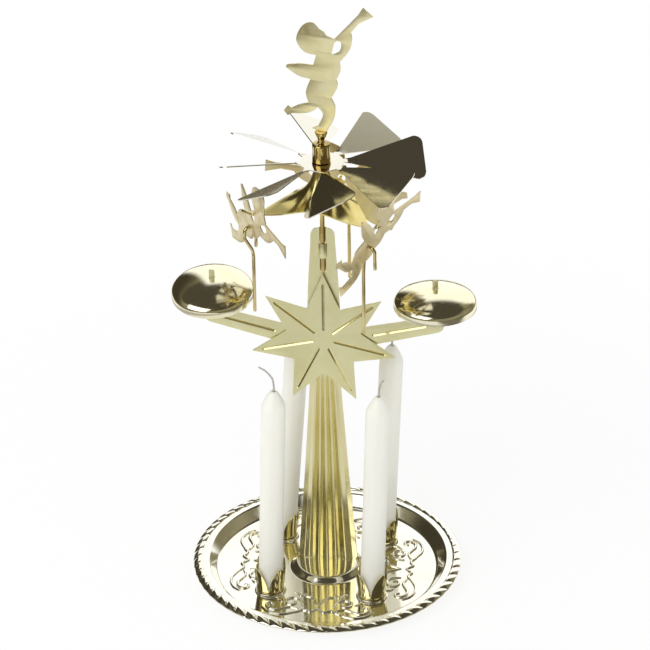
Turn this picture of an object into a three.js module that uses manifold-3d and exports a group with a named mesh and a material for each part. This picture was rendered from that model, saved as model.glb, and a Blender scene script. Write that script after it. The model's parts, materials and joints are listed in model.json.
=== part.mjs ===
// Angel chime: a pressed brass tray with four candles, a fluted stem, two bells
// and a rotor whose vanes turn in the rising warm air and carry three hanging
// angels. Millimetres, Z up, origin on the table under the spindle.
import * as THREE from 'three'
import { mergeVertices } from 'three/addons/utils/BufferGeometryUtils.js'
import Module from 'manifold-3d'

const wasm = await Module()
wasm.setup()

const fullTurn = Math.PI * 2
const halfTurn = Math.PI
const quarterTurn = Math.PI / 2
const degree = Math.PI / 180

// Fits
const runningGap = 0.3
const seatGap = 0.1
const cutOverrun = 1

// Tray
const trayRadius = 65
const traySheet = 0.8
const rimHeight = 6.4
const wallTopRadius = 57.7
const floorRadius = 53.5
const bossRadius = 17.8
const plateauRadius = 14.9
const plateauHeight = 2.6
const beadCount = 62
const beadWidth = 4.2
const beadRise = 0.9
const beadSlopeShare = 0.5

// Candle places and cups
const cupCircleRadius = 34.7
const padRadius = 6.9
const padSkirtRadius = 7.8
const padRise = 1
const cupSheet = 0.4
const cupCollarHeight = 2.4
const petalHeight = 14.2
const petalFlare = 2
const petalCount = 4
const petalGap = 1.1
const petalTipWidth = 0.5
const rivetShankRadius = 1.2
const rivetHeadRadius = 2.4
const rivetHeadHeight = 0.5

// Candles and wicks
const candleRadius = 5.75
const candleShoulderHeight = 99.4
const candleTipHeight = 9
const candleTipRadius = 1.5
const candleFootRound = 0.7
const wickRadius = 0.55
const wickWellDepth = 3
const candlePlaces = [
  { name: 'front_left', azimuth: 225, leanDeg: 2, wickHeight: 12, wickReach: -7 },
  { name: 'front_right', azimuth: 315, leanDeg: 2, wickHeight: 8.5, wickReach: 1.8 },
  { name: 'back_right', azimuth: 45, leanDeg: 2.5, wickHeight: 11, wickReach: 1.2 },
  { name: 'back_left', azimuth: 135, leanDeg: 4.5, wickHeight: 9.5, wickReach: -1.5 }
]

// Stem
const stemSheet = 0.6
const stemFootHalfWidth = 14.4
const stemRise = 60.3
const fluteDepth = 4
const fluteShares = [[0, 0], [0.16, 0.8], [0.3, 0.2], [0.42, 1], [0.62, 0.45], [0.8, 0.95], [1, 0.9]]
const stemRowShares = [
  { height: 0, width: 1, depth: 1 },
  { height: 0.25, width: 0.757, depth: 0.85 },
  { height: 0.4, width: 0.63, depth: 0.7 },
  { height: 0.53, width: 0.525, depth: 0.5 },
  { height: 0.565, width: 0.503, depth: 0.3 },
  { height: 0.6, width: 0.503, depth: 0 },
  { height: 0.75, width: 0.531, depth: 0 },
  { height: 0.82, width: 0.503, depth: 0 },
  { height: 0.965, width: 0.395, depth: 0 },
  { height: 0.984, width: 0.36, depth: 0 },
  { height: 0.996, width: 0.285, depth: 0 },
  { height: 1, width: 0.2, depth: 0 }
]
const footTabWidth = 4
const footTabReach = 4.5
const footTabShare = 0.62

// Spindle and its socket in the stem
const spindleRadius = 1.15
const spindleSocketDepth = 22.7
const spindlePointLength = 4.5
const spindlePointRadius = 0.15
const spindlePointGap = 0.9
const strapDrop = 7.7
const strapHeight = 7.4

// Bell arms
const armSheet = 0.5
const armRootHeight = 125
const armRise = 12.8
const armRootHalf = 5.6
const armEndHalf = 4.3
const grooveDepth = 0.25
const grooveHalfWidth = 0.6
const armGrooveShares = [0.43, 0.93]
const pegHalfWidth = 1.3
const pegShoulderHalf = 2.6
const pegRise = 4.2

// Star
const starSheet = 0.5
const starLift = 2.5
const starRadius = 34.9
const starNotchRadius = 17.9
const starPoints = 7
const starGrooveShares = [0.13, 0.86]
const starTabPlace = 3.5
const starTabHeight = 4
const starTabReach = 3.2

// Bells
const bellPlace = 52.2
const bellPostHeight = 19.2
const bellRadius = 19.3
const bellHeight = 9.6
const bellSheet = 0.6
const bellDomeRadius = 38
const bellShoulderRadius = 14.5
const bellRoundShare = 0.72
const bellHoleRadius = 1.7
const bellTiltDeg = 8

// Rotor
const rotorRise = 33.7
const rotorSheet = 0.5
const rotorReach = 47
const rotorDiscRadius = 10.2
const vaneRoot = 13.2
const vaneHalfWidth = 12.6
const vaneNeckHalf = 1.5
const vaneCorner = 4
const vaneCount = 8
const vaneTwistDeg = 25
const vaneTurnDeg = 12

// Hub, bearing and hanger
const hubRadius = 4.25
const hubHeight = 9.5
const hubSheet = 0.6
const hubNeckRadius = 1.5
const hubNeckHeight = 2.1
const hubSocketRadius = 3
const hubSocketHeight = 3.8
const hangerSheet = 0.6
const hangerTubeRadius = 2.8
const hangerTubeRise = 5
const hangerShoulderRadius = 3.9
const hangerDrop = 22.55
const hangerReach = 30.5
const hangerWaist = 14.8
const hangerArms = 3
const hangerArmTurnDeg = 81
const hangerArmPower = 2.65
const trumpetShares = [
  [0.03, 0.84], [0.065, 0.7], [0.14, 0.5], [0.26, 0.33], [0.44, 0.18], [0.69, 0.072], [1, 0]
]
const hookHalfWidth = 0.6
const hookThickness = 0.5
const hookRadius = 32.4
const hookRoot = 27
const hookBendRadius = 33
const hookSlopeDeg = 33
const hookSlopeLength = 5.4
const hookTipLength = 1.4
const hookTipHalfWidth = 1.2
const bearingFlangeRadius = 2.7
const bearingFlangeHeight = 0.6
const bearingDepth = 4.6
const bearingConeHeight = 3.1

// Angels, all cut to one outline in shares of the angel's width and height
const angelWidth = 63
const angelHeight = 60.5
const angelSheet = 0.5
const angelHoleRadius = 1.9
const angelHoleShares = [0.008, 0.575]
const clapperHoleShares = [0.055, 0.447]
const topAngelSeatDepth = 1.5
const topAngelTurnDeg = -16.4
const topTabHalfWidth = 1.4
const topTabShares = [0.006, 0.06]
const topTabDepth = 1.9
const angelPlaces = [
  { name: 'left', azimuth: 201, pitchDeg: -52, yawDeg: 10, rollDeg: 0, slide: 0, side: -1, legInset: 1.4 },
  { name: 'right', azimuth: 321, pitchDeg: -49, yawDeg: 13, rollDeg: 8, slide: 2.8, side: 1, legInset: 3.4 },
  { name: 'back', azimuth: 81, pitchDeg: -48, yawDeg: 0, rollDeg: 0, slide: 0, side: 1, legInset: 1.4 }
]
const angelStrokeShares = [
  { line: [[0.303, 1.017], [0.341, 1.083], [0.419, 1.023], [0.31, 0.953], [0.246, 0.868]] },
  { curve: [[0.256, 0.812], [0.232, 0.72], [0.158, 0.615]] },
  { curve: [[0.163, 0.547], [0.131, 0.468]] },
  { curve: [[0.14, 0.415], [0.091, 0.315]] },
  { curve: [[0.121, 0.242], [0.107, 0.145], [0.056, 0.041]] },
  { line: [[0.039, 0.008], [-0.063, 0.041], [-0.014, 0.069]] },
  { curve: [[0.025, 0.168], [-0.014, 0.221]] },
  { curve: [[-0.049, 0.188], [-0.106, 0.157], [-0.218, 0.135]] },
  { line: [[-0.253, 0.112], [-0.283, 0.147], [-0.25, 0.194], [-0.222, 0.178]] },
  { curve: [[-0.155, 0.221], [-0.088, 0.246]] },
  { curve: [[-0.107, 0.33], [-0.07, 0.441]] },
  { curve: [[-0.162, 0.452], [-0.259, 0.503]] },
  { curve: [[-0.246, 0.529], [-0.155, 0.553], [-0.046, 0.56]] },
  { line: [[-0.023, 0.642]] },
  { curve: [[-0.12, 0.658], [-0.175, 0.744], [-0.134, 0.861], [-0.056, 0.906], [0, 0.859]] },
  { line: [[0.039, 0.838], [0.056, 0.815], [0.12, 0.797]] }
]
const angelArmHoleShares = [
  [0.12, 0.765], [0.15, 0.785], [0.173, 0.766], [0.158, 0.705], [0.1, 0.672], [0.107, 0.715]
]

// Clappers
const clapperWireRadius = 0.8
const clapperHookRadius = 2.8
const clapperFreeLeg = 7.5
const clapperJogStart = 5.5
const clapperJogEnd = 13
const clapperDip = 12.5
const clapperHoleGap = 0.4

// Numbers of facets
const roundSegments = 24
const smallSegments = 16
const cupSegments = 24
const rivetSegments = 12
const padSegments = 20
const candleSegments = 20
const wireSides = 8
const canopySegments = 36
const bossSegments = 31
const curveSteps = 5
const angelCurveSteps = 2

// Colours
const brass = { color: 0xcdb85c, roughness: 0.18, metalness: 1 }
const paleGold = { color: 0xd3cd97, roughness: 0.45, metalness: 1 }
const angelGold = { color: 0xe2d08a, roughness: 0.35, metalness: 1 }
const wireBrass = { color: 0xb98a4a, roughness: 0.25, metalness: 1 }
const wax = { color: 0xf6f5f0, roughness: 0.5, metalness: 0 }
const cotton = { color: 0xf0efe9, roughness: 0.9, metalness: 0 }

// Heights worked out from the sizes above
const floorTop = traySheet
const plateauTop = floorTop + plateauHeight
const plateauUnder = plateauTop - traySheet
const padTop = floorTop + padRise
const padUnder = padTop - traySheet
const cupFloorTop = padTop + seatGap + cupSheet
const candleFoot = cupFloorTop + seatGap + rivetHeadHeight + runningGap
const cupInnerRadius = candleRadius + runningGap
const stemFoot = plateauTop + seatGap
const stemTopHeight = armRootHeight + stemRise
const stemHeight = stemTopHeight - stemFoot
const boreRadius = spindleRadius + runningGap
const socketRadius = boreRadius + stemSheet
const armEndHeight = armRootHeight + armRise
const starCentreHeight = armRootHeight + starLift
const bellCrownHeight = armEndHeight + bellPostHeight
const clapperFoot = bellCrownHeight - clapperDip
const armFront = -(stemSheet / 2 + runningGap + armSheet)
const starFront = armFront - runningGap - starSheet
const armMiddle = armFront + armSheet / 2
const spindleFoot = stemTopHeight - spindleSocketDepth
const strapTop = stemTopHeight - strapDrop
const strapBottom = strapTop - strapHeight
const rotorHeight = stemTopHeight + rotorRise
const hubTop = rotorHeight + hubHeight
const hubNeckTop = hubTop + hubNeckHeight
const hubSocketTop = hubNeckTop + hubSocketHeight
const topAngelFoot = hubSocketTop - topAngelSeatDepth
const hangerTubeTop = rotorHeight + hangerTubeRise
const hangerEdgeHeight = rotorHeight - hangerDrop
const rotorUnder = rotorHeight - rotorSheet / 2
const hangerShoulderTop = rotorUnder - seatGap
const hubBottom = rotorUnder + rotorSheet + seatGap
const bearingBottom = hangerTubeTop + seatGap - bearingDepth
const spindleTop = bearingBottom + bearingConeHeight - spindlePointGap
const hookMiddle = hangerEdgeHeight
const angelHoleDrop = angelHoleRadius - runningGap * 2 - hookThickness / 2

function facingOut(geometry) {
  const place = geometry.attributes.position
  const index = geometry.index.array
  const corner = [new THREE.Vector3(), new THREE.Vector3(), new THREE.Vector3()]
  let volume = 0
  for (let i = 0; i < index.length; i += 3) {
    corner.forEach((point, k) => point.fromBufferAttribute(place, index[i + k]))
    volume += corner[0].dot(corner[1].clone().cross(corner[2]))
  }
  if (volume < 0) {
    for (let i = 0; i < index.length; i += 3) {
      const first = index[i]
      index[i] = index[i + 1]
      index[i + 1] = first
    }
  }
  return geometry
}

function surface(points, triangles) {
  const geometry = new THREE.BufferGeometry()
  const numbers = points.flatMap((point) => [point.x, point.y, point.z])
  geometry.setAttribute('position', new THREE.Float32BufferAttribute(numbers, 3))
  geometry.setIndex(triangles)
  return facingOut(geometry)
}

// Joins two rings of points with triangles. A ring of one point is a pole.
function joinRings(triangles, first, firstCount, second, secondCount) {
  let i = 0
  let j = 0
  const firstSteps = firstCount > 1 ? firstCount : 0
  const secondSteps = secondCount > 1 ? secondCount : 0
  while (i < firstSteps || j < secondSteps) {
    const along = i < firstSteps && (j >= secondSteps || (i + 1) * secondCount <= (j + 1) * firstCount)
    const here = first + i % firstCount
    const there = second + j % secondCount
    if (along) {
      i += 1
      triangles.push(here, first + i % firstCount, there)
    } else {
      j += 1
      triangles.push(here, second + j % secondCount, there)
    }
  }
}

function ringSolid(rings, closed) {
  const points = []
  const starts = []
  const triangles = []
  for (const ring of rings) {
    starts.push(points.length)
    points.push(...ring)
  }
  const joins = closed ? rings.length : rings.length - 1
  for (let i = 0; i < joins; i++) {
    const j = (i + 1) % rings.length
    joinRings(triangles, starts[i], rings[i].length, starts[j], rings[j].length)
  }
  return surface(points, triangles)
}

// A thin sheet through rows of paired front and back points.
function sheetSolid(rows) {
  const points = []
  const triangles = []
  const count = rows[0].front.length
  const ring = count * 2
  rows.forEach((row, i) => {
    points.push(...row.front, ...row.back.slice().reverse())
    if (i > 0) joinRings(triangles, (i - 1) * ring, ring, i * ring, ring)
  })
  const last = (rows.length - 1) * ring
  for (let k = 0; k < count - 1; k++) {
    const back = ring - 1 - k
    triangles.push(k + 1, k, back - 1, k, back, back - 1)
    triangles.push(last + k, last + k + 1, last + back - 1, last + k, last + back - 1, last + back)
  }
  return surface(points, triangles)
}

function toSolid(geometry) {
  const plain = new THREE.BufferGeometry()
  plain.setAttribute('position', geometry.attributes.position.clone())
  if (geometry.index) plain.setIndex(geometry.index.clone())
  const merged = facingOut(mergeVertices(plain))
  return new wasm.Manifold(new wasm.Mesh({
    numProp: 3,
    vertProperties: new Float32Array(merged.attributes.position.array),
    triVerts: new Uint32Array(merged.index.array)
  }))
}

function toGeometry(solid) {
  const mesh = solid.getMesh()
  const geometry = new THREE.BufferGeometry()
  geometry.setAttribute('position', new THREE.BufferAttribute(new Float32Array(mesh.vertProperties), 3))
  geometry.setIndex(new THREE.BufferAttribute(new Uint32Array(mesh.triVerts), 1))
  return geometry
}

function boxSolid(low, high) {
  const size = high.map((value, i) => value - low[i])
  const middle = high.map((value, i) => (value + low[i]) / 2)
  return toSolid(new THREE.BoxGeometry(...size).translate(...middle))
}

function rodSolid(radius, bottom, top, x = 0, y = 0) {
  const rod = new THREE.CylinderGeometry(radius, radius, top - bottom, smallSegments)
  return toSolid(rod.rotateX(quarterTurn).translate(x, y, (top + bottom) / 2))
}

// Turns a profile of [radius, height] pairs about Z.
function turned(profile, segments = roundSegments) {
  const points = profile.map(([radius, height]) => new THREE.Vector2(radius, height))
  return new THREE.LatheGeometry(points, segments).rotateX(quarterTurn)
}

// A flat sheet cut to a shape drawn in X and Z, standing with its front at y.
function standingSheet(shape, thickness, front, steps = curveSteps) {
  const plate = new THREE.ExtrudeGeometry(shape, {
    depth: thickness, bevelEnabled: false, curveSegments: steps
  })
  return plate.rotateX(quarterTurn).translate(0, front + thickness, 0)
}

// A round wire through points that all lie in one plane, given by its normal.
function wireAlong(points, radius, normal) {
  const rings = points.map((point, i) => {
    const before = points[Math.max(0, i - 1)]
    const after = points[Math.min(points.length - 1, i + 1)]
    const side = after.clone().sub(before).normalize().cross(normal)
    const ring = []
    for (let k = 0; k < wireSides; k++) {
      const angle = k / wireSides * fullTurn
      const spoke = side.clone().multiplyScalar(Math.cos(angle)).addScaledVector(normal, Math.sin(angle))
      ring.push(point.clone().addScaledVector(spoke, radius))
    }
    return ring
  })
  return ringSolid([[points[0]], ...rings, [points[points.length - 1]]], false)
}

const group = new THREE.Group()

function addMesh(name, geometry, look, parent = group) {
  const mesh = new THREE.Mesh(geometry, new THREE.MeshStandardMaterial(look))
  mesh.name = name
  geometry.computeVertexNormals()
  parent.add(mesh)
  return mesh
}

function polar(radius, angle, height) {
  return new THREE.Vector3(radius * Math.cos(angle), radius * Math.sin(angle), height)
}

// Tray: rings of points from the centre out over the top and back underneath.
// The rim has two steps to each bead, so every other point is a crest.
function trayBlank() {
  const round = beadCount
  const fine = beadCount * 2
  const beadInner = trayRadius - beadWidth
  const beadMiddle = trayRadius - beadWidth / 2
  const rimUnder = rimHeight - traySheet
  const profile = [
    { radius: plateauRadius, height: plateauTop, count: bossSegments },
    { radius: bossRadius, height: floorTop, count: bossSegments },
    { radius: floorRadius, height: floorTop, count: round },
    { radius: wallTopRadius, height: rimHeight, count: round },
    { radius: beadInner, height: rimHeight, count: round },
    { radius: beadMiddle, height: rimHeight, count: fine, beadShare: 1 },
    { radius: trayRadius, height: rimHeight - beadRise, count: fine, skewShare: beadSlopeShare },
    { radius: trayRadius - traySheet, height: rimUnder - beadRise, count: round },
    { radius: beadInner, height: rimUnder, count: round },
    { radius: wallTopRadius + traySheet, height: rimUnder, count: round },
    { radius: floorRadius + traySheet / 2, height: 0, count: round },
    { radius: bossRadius - traySheet / 2, height: 0, count: bossSegments },
    { radius: plateauRadius - traySheet / 2, height: plateauUnder, count: bossSegments }
  ]
  const rings = profile.map(({ radius, height, count, beadShare = 0, skewShare = 0 }) => {
    const ring = []
    for (let k = 0; k < count; k++) {
      const angle = (k + skewShare) / count * fullTurn
      ring.push(polar(radius, angle, height + beadShare * (k % 2) * beadRise))
    }
    return ring
  })
  const top = [new THREE.Vector3(0, 0, plateauTop)]
  const bottom = [new THREE.Vector3(0, 0, plateauUnder)]
  return toSolid(ringSolid([top, ...rings, bottom], false))
}

function candlePoint(place) {
  return polar(cupCircleRadius, place.azimuth * degree, 0)
}

function footTabPlace(side) {
  return side * footTabShare * stemFootHalfWidth
}

function fluteBack(share) {
  const mark = fluteShares.findIndex(([across]) => across >= share)
  return fluteShares[mark][1] * fluteDepth
}

function makeTray() {
  let tray = trayBlank()
  for (const place of candlePlaces) {
    const { x, y } = candlePoint(place)
    const pad = turned([[0, padTop], [padRadius, padTop], [padSkirtRadius, floorTop],
      [padSkirtRadius, floorTop / 2], [0, floorTop / 2]], padSegments).translate(x, y, 0)
    const mouth = padSkirtRadius - traySheet
    const hollow = turned([[0, padUnder], [padRadius - traySheet, padUnder], [mouth, 0],
      [mouth, -cutOverrun], [0, -cutOverrun]], padSegments).translate(x, y, 0)
    tray = tray.add(toSolid(pad)).subtract(toSolid(hollow))
    tray = tray.subtract(rodSolid(rivetShankRadius + runningGap, -cutOverrun, padTop + cutOverrun, x, y))
  }
  const back = fluteBack(footTabShare)
  for (const side of [-1, 1]) {
    const middle = footTabPlace(side)
    const half = footTabWidth / 2 + runningGap
    const depth = stemSheet / 2 + runningGap
    tray = tray.subtract(boxSolid([middle - half, back - depth, plateauUnder - cutOverrun],
      [middle + half, back + depth, plateauTop + cutOverrun]))
  }
  addMesh('tray', toGeometry(tray), brass)
}

// One petal of a candle cup, a curved sheet that widens, then closes to a point.
function petal(turn) {
  const rowShares = [0, 0.42, 0.8, 1]
  const columns = 3
  const outer = cupInnerRadius + cupSheet
  const fullAngle = quarterTurn - petalGap / outer
  const foot = padTop + seatGap + cupSheet
  return toSolid(sheetSolid(rowShares.map((share) => {
    const close = Math.sqrt(1 - share * share)
    const angle = Math.max(fullAngle * close, petalTipWidth / outer)
    const bulge = petalFlare * share * share
    const row = { front: [], back: [] }
    for (let k = 0; k <= columns; k++) {
      const at = turn + angle * (k / columns - 1 / 2)
      row.front.push(polar(outer + bulge, at, foot + petalHeight * share))
      row.back.push(polar(outer - cupSheet + bulge, at, foot + petalHeight * share))
    }
    return row
  })))
}

function makeCup(place) {
  const { x, y } = candlePoint(place)
  const bottom = padTop + seatGap
  const outer = cupInnerRadius + cupSheet
  const hole = rivetShankRadius + runningGap
  let cup = toSolid(turned([[hole, bottom], [outer, bottom], [outer, bottom + cupCollarHeight],
    [cupInnerRadius, bottom + cupCollarHeight], [cupInnerRadius, cupFloorTop], [hole, cupFloorTop],
    [hole, bottom]], cupSegments))
  for (let k = 0; k < petalCount; k++) {
    cup = cup.add(petal((k + 1 / 2) / petalCount * fullTurn))
  }
  addMesh(`cup_${place.name}`, toGeometry(cup).translate(x, y, 0), brass)
}

function makeRivet(place) {
  const { x, y } = candlePoint(place)
  const headBottom = cupFloorTop + seatGap
  const clenchTop = padUnder - seatGap
  const rivet = turned([[0, clenchTop - rivetHeadHeight], [rivetHeadRadius, clenchTop - rivetHeadHeight],
    [rivetHeadRadius, clenchTop], [rivetShankRadius, clenchTop], [rivetShankRadius, headBottom],
    [rivetHeadRadius, headBottom], [rivetShankRadius, headBottom + rivetHeadHeight],
    [0, headBottom + rivetHeadHeight]], rivetSegments)
  addMesh(`rivet_${place.name}`, rivet.translate(x, y, 0), brass)
}

function makeCandle(place) {
  const holder = new THREE.Group()
  const { x, y } = candlePoint(place)
  holder.position.set(x, y, candleFoot)
  holder.rotation.y = place.leanDeg * degree
  group.add(holder)
  const shoulder = candleShoulderHeight
  const tip = shoulder + candleTipHeight
  const well = wickRadius + runningGap
  const slopeShares = [[0.93, 0.2], [0.65, 0.58]]
  const slope = slopeShares.map(([radius, rise]) => [
    candleRadius * radius, shoulder + candleTipHeight * rise])
  const profile = [[0, 0], [candleRadius - candleFootRound, 0], [candleRadius, candleFootRound],
    [candleRadius, shoulder], ...slope, [candleTipRadius, tip], [well, tip], [well, tip - wickWellDepth],
    [0, tip - wickWellDepth]]
  addMesh(`candle_${place.name}`, turned(profile, candleSegments), wax, holder)
  const bottom = tip - wickWellDepth + runningGap
  const bendShares = [[0, 0.2], [0.12, 0.55], [0.55, 0.85]]
  const points = [new THREE.Vector3(0, 0, bottom), new THREE.Vector3(0, 0, tip)]
  for (const [across, up] of bendShares) {
    points.push(new THREE.Vector3(place.wickReach * across, 0, tip + place.wickHeight * up))
  }
  points.push(new THREE.Vector3(place.wickReach, 0, tip + place.wickHeight))
  addMesh(`wick_${place.name}`, wireAlong(points, wickRadius, new THREE.Vector3(0, 1, 0)), cotton, holder)
}

// Stem: rows up the height, fluted at the foot and flat behind the star.
function stemBlank() {
  const leftHalf = fluteShares.slice(1).reverse().map(([share, depth]) => [-share, depth])
  const across = [...leftHalf, ...fluteShares]
  return toSolid(sheetSolid(stemRowShares.map(({ height, width, depth }) => {
    const z = stemFoot + stemHeight * height
    const row = { front: [], back: [] }
    for (const [share, back] of across) {
      const x = share * width * stemFootHalfWidth
      const y = back * depth * fluteDepth
      row.front.push(new THREE.Vector3(x, y - stemSheet / 2, z))
      row.back.push(new THREE.Vector3(x, y + stemSheet / 2, z))
    }
    return row
  })))
}

function makeStem() {
  let stem = stemBlank()
  const half = stemSheet / 2
  const footDrop = plateauUnder - seatGap - stemSheet
  for (const side of [-1, 1]) {
    const middle = footTabPlace(side)
    const back = fluteBack(footTabShare)
    const left = middle - footTabWidth / 2
    const right = middle + footTabWidth / 2
    stem = stem.add(boxSolid([left, back - half, footDrop], [right, back + half, stemFoot + half]))
    stem = stem.add(boxSolid([left, back - half, footDrop],
      [right, back + half + footTabReach, footDrop + stemSheet]))
  }
  const socket = rodSolid(socketRadius, spindleFoot - socketRadius, stemTopHeight)
  const reach = socketRadius + cutOverrun
  const behind = (low, high) => socket.intersect(boxSolid([-reach, 0, low], [reach, reach, high]))
  const ahead = socket.intersect(boxSolid([-reach, -reach, strapBottom], [reach, 0, strapTop]))
  stem = stem.add(behind(spindleFoot - socketRadius, strapBottom))
  stem = stem.add(behind(strapTop, stemTopHeight)).add(ahead)
  stem = stem.subtract(rodSolid(boreRadius, spindleFoot - runningGap, stemTopHeight + cutOverrun))
  for (const side of [-1, 1]) {
    stem = stem.subtract(starTabSlot(side, -cutOverrun, cutOverrun))
  }
  addMesh('stem', toGeometry(stem), paleGold)
}

function starTabSlot(side, front, back) {
  const half = starSheet / 2 + runningGap
  const rise = starTabHeight / 2 + runningGap
  const middle = side * starTabPlace
  const low = starCentreHeight - rise
  const high = starCentreHeight + rise
  return boxSolid([middle - half, front, low], [middle + half, back, high])
}

function makeSpindle() {
  const shoulder = spindleTop - spindlePointLength
  const profile = [[0, spindleFoot], [spindleRadius, spindleFoot], [spindleRadius, shoulder],
    [spindlePointRadius, spindleTop], [0, spindleTop]]
  addMesh('spindle', turned(profile, smallSegments), wireBrass)
}

// A pressed groove, as a bar sunk into the front of a standing sheet.
function grooveBar(from, to, front) {
  const length = Math.hypot(to[0] - from[0], to[1] - from[1])
  const bar = new THREE.BoxGeometry(length, grooveDepth * 2, grooveHalfWidth * 2)
  bar.rotateY(-Math.atan2(to[1] - from[1], to[0] - from[0]))
  return toSolid(bar.translate((from[0] + to[0]) / 2, front, (from[1] + to[1]) / 2))
}

function crossbarShape() {
  const shape = new THREE.Shape()
  const shoulderTop = bellCrownHeight - bellSheet - runningGap
  const pegTop = bellCrownHeight + pegRise
  const slope = (armEndHeight - armRootHeight) / bellPlace
  const rootTop = armRootHeight + armRootHalf
  const endTop = armEndHeight + armEndHalf
  const topAt = (x) => rootTop + (endTop - rootTop) * x / bellPlace
  const inner = bellPlace - pegShoulderHalf
  const endRise = Math.sqrt(armEndHalf * armEndHalf - pegShoulderHalf * pegShoulderHalf)
  const openAngle = Math.atan2(endRise, pegShoulderHalf)
  shape.moveTo(0, topAt(0))
  shape.lineTo(inner, topAt(inner))
  shape.lineTo(inner, shoulderTop)
  shape.lineTo(bellPlace - pegHalfWidth, shoulderTop)
  shape.lineTo(bellPlace - pegHalfWidth, pegTop)
  shape.lineTo(bellPlace + pegHalfWidth, pegTop)
  shape.lineTo(bellPlace + pegHalfWidth, shoulderTop)
  shape.lineTo(bellPlace + pegShoulderHalf, shoulderTop)
  shape.absarc(bellPlace, armEndHeight, armEndHalf, openAngle, Math.atan(slope) - quarterTurn, true)
  shape.lineTo(0, armRootHeight - armRootHalf)
  return shape
}

function mirrored(shape) {
  const right = shape.getPoints(curveSteps + 1)
  const left = right.slice(1, -1).reverse().map((point) => new THREE.Vector2(-point.x, point.y))
  return new THREE.Shape([...right, ...left])
}

function makeCrossbar() {
  let bar = toSolid(standingSheet(mirrored(crossbarShape()), armSheet, armFront))
  const rise = (armEndHeight - armRootHeight) / bellPlace
  for (const side of [-1, 1]) {
    const [from, to] = armGrooveShares.map((share) => [
      side * share * bellPlace, armRootHeight + rise * share * bellPlace])
    bar = bar.subtract(grooveBar(from, to, armFront))
    bar = bar.subtract(starTabSlot(side, armFront - cutOverrun, cutOverrun))
  }
  addMesh('crossbar', toGeometry(bar), paleGold)
}

function makeStar() {
  const shape = new THREE.Shape()
  for (let k = 0; k < starPoints * 2; k++) {
    const angle = quarterTurn + k / starPoints * halfTurn
    const reach = k % 2 === 0 ? starRadius : starNotchRadius
    const x = reach * Math.cos(angle)
    const z = starCentreHeight + reach * Math.sin(angle)
    if (k === 0) shape.moveTo(x, z)
    else shape.lineTo(x, z)
  }
  let star = toSolid(standingSheet(shape, starSheet, starFront))
  for (let k = 0; k < starPoints; k++) {
    const angle = quarterTurn + k / starPoints * fullTurn
    const [from, to] = starGrooveShares.map((share) => [
      share * starRadius * Math.cos(angle), starCentreHeight + share * starRadius * Math.sin(angle)])
    star = star.subtract(grooveBar(from, to, starFront))
  }
  const back = stemSheet / 2 + runningGap
  const low = starCentreHeight - starTabHeight / 2
  const high = starCentreHeight + starTabHeight / 2
  for (const side of [-1, 1]) {
    const middle = side * starTabPlace
    const half = starSheet / 2
    const tip = middle + side * starTabReach
    star = star.add(boxSolid([middle - half, starFront + half, low],
      [middle + half, back + starSheet, high]))
    star = star.add(boxSolid([Math.min(middle - half, tip), back, low], [Math.max(middle + half, tip),
      back + starSheet, high]))
  }
  addMesh('star', toGeometry(star), paleGold)
}

// Bell: a low dome with a round shoulder and a short straight skirt, open below.
function bellProfile(shrink) {
  const dome = bellDomeRadius - shrink
  const crown = -shrink
  const wall = bellRadius - shrink
  const drop = (radius) => crown - dome + Math.sqrt(dome * dome - radius * radius)
  const domeShares = [0.5, 1]
  const points = [[bellHoleRadius, drop(bellHoleRadius)]]
  for (const share of domeShares) {
    const radius = (bellShoulderRadius - shrink / 2) * share
    points.push([radius, drop(radius)])
  }
  const [startRadius, startDrop] = points[points.length - 1]
  const roundHeight = bellHeight * bellRoundShare + startDrop
  const roundShares = [[0.45, 0.13], [0.75, 0.36], [0.93, 0.66], [1, 1]]
  for (const [outShare, downShare] of roundShares) {
    points.push([startRadius + (wall - startRadius) * outShare, startDrop - roundHeight * downShare])
  }
  points.push([wall, -bellHeight])
  return points
}

function makeBell(name, side, tiltDeg) {
  const outside = bellProfile(0).reverse()
  const inside = bellProfile(bellSheet)
  const holder = new THREE.Group()
  holder.position.set(side * bellPlace, armMiddle, bellCrownHeight)
  holder.rotation.x = tiltDeg * degree
  group.add(holder)
  addMesh(name, turned([...outside, ...inside, outside[0]]), brass, holder)
}

// Rotor: a disc with twisted necks that carry flat vanes set at an angle.
function vaneSolid(azimuth) {
  const start = hangerTubeRadius + runningGap + cutOverrun
  const cornerStart = rotorReach - vaneCorner
  const cornerShares = [0.4, 0.7, 0.9, 1]
  const stations = [
    { reach: start, half: vaneNeckHalf, twist: 0 },
    { reach: rotorDiscRadius - vaneNeckHalf, half: vaneNeckHalf, twist: 0 },
    { reach: (rotorDiscRadius + vaneRoot) / 2, half: vaneNeckHalf, twist: vaneTwistDeg / 2 },
    { reach: vaneRoot, half: vaneNeckHalf, twist: vaneTwistDeg },
    { reach: cornerStart, half: vaneHalfWidth, twist: vaneTwistDeg }
  ]
  for (const share of cornerShares) {
    const inset = vaneCorner * (1 - Math.sqrt(1 - share * share))
    const reach = cornerStart + vaneCorner * share
    stations.push({ reach, half: vaneHalfWidth - inset, twist: vaneTwistDeg })
  }
  const along = new THREE.Vector3(Math.cos(azimuth), Math.sin(azimuth), 0)
  const round = new THREE.Vector3(-Math.sin(azimuth), Math.cos(azimuth), 0)
  return toSolid(sheetSolid(stations.map(({ reach, half, twist }) => {
    const lean = twist * degree
    const chord = round.clone().multiplyScalar(Math.cos(lean)).setZ(Math.sin(lean))
    const up = round.clone().multiplyScalar(-Math.sin(lean)).setZ(Math.cos(lean))
    up.multiplyScalar(rotorSheet / 2)
    const middle = along.clone().multiplyScalar(reach).setZ(rotorHeight)
    const edges = [-1, 1].map((side) => middle.clone().addScaledVector(chord, side * half))
    return {
      front: edges.map((edge) => edge.clone().add(up)),
      back: edges.map((edge) => edge.clone().sub(up))
    }
  })))
}

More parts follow.
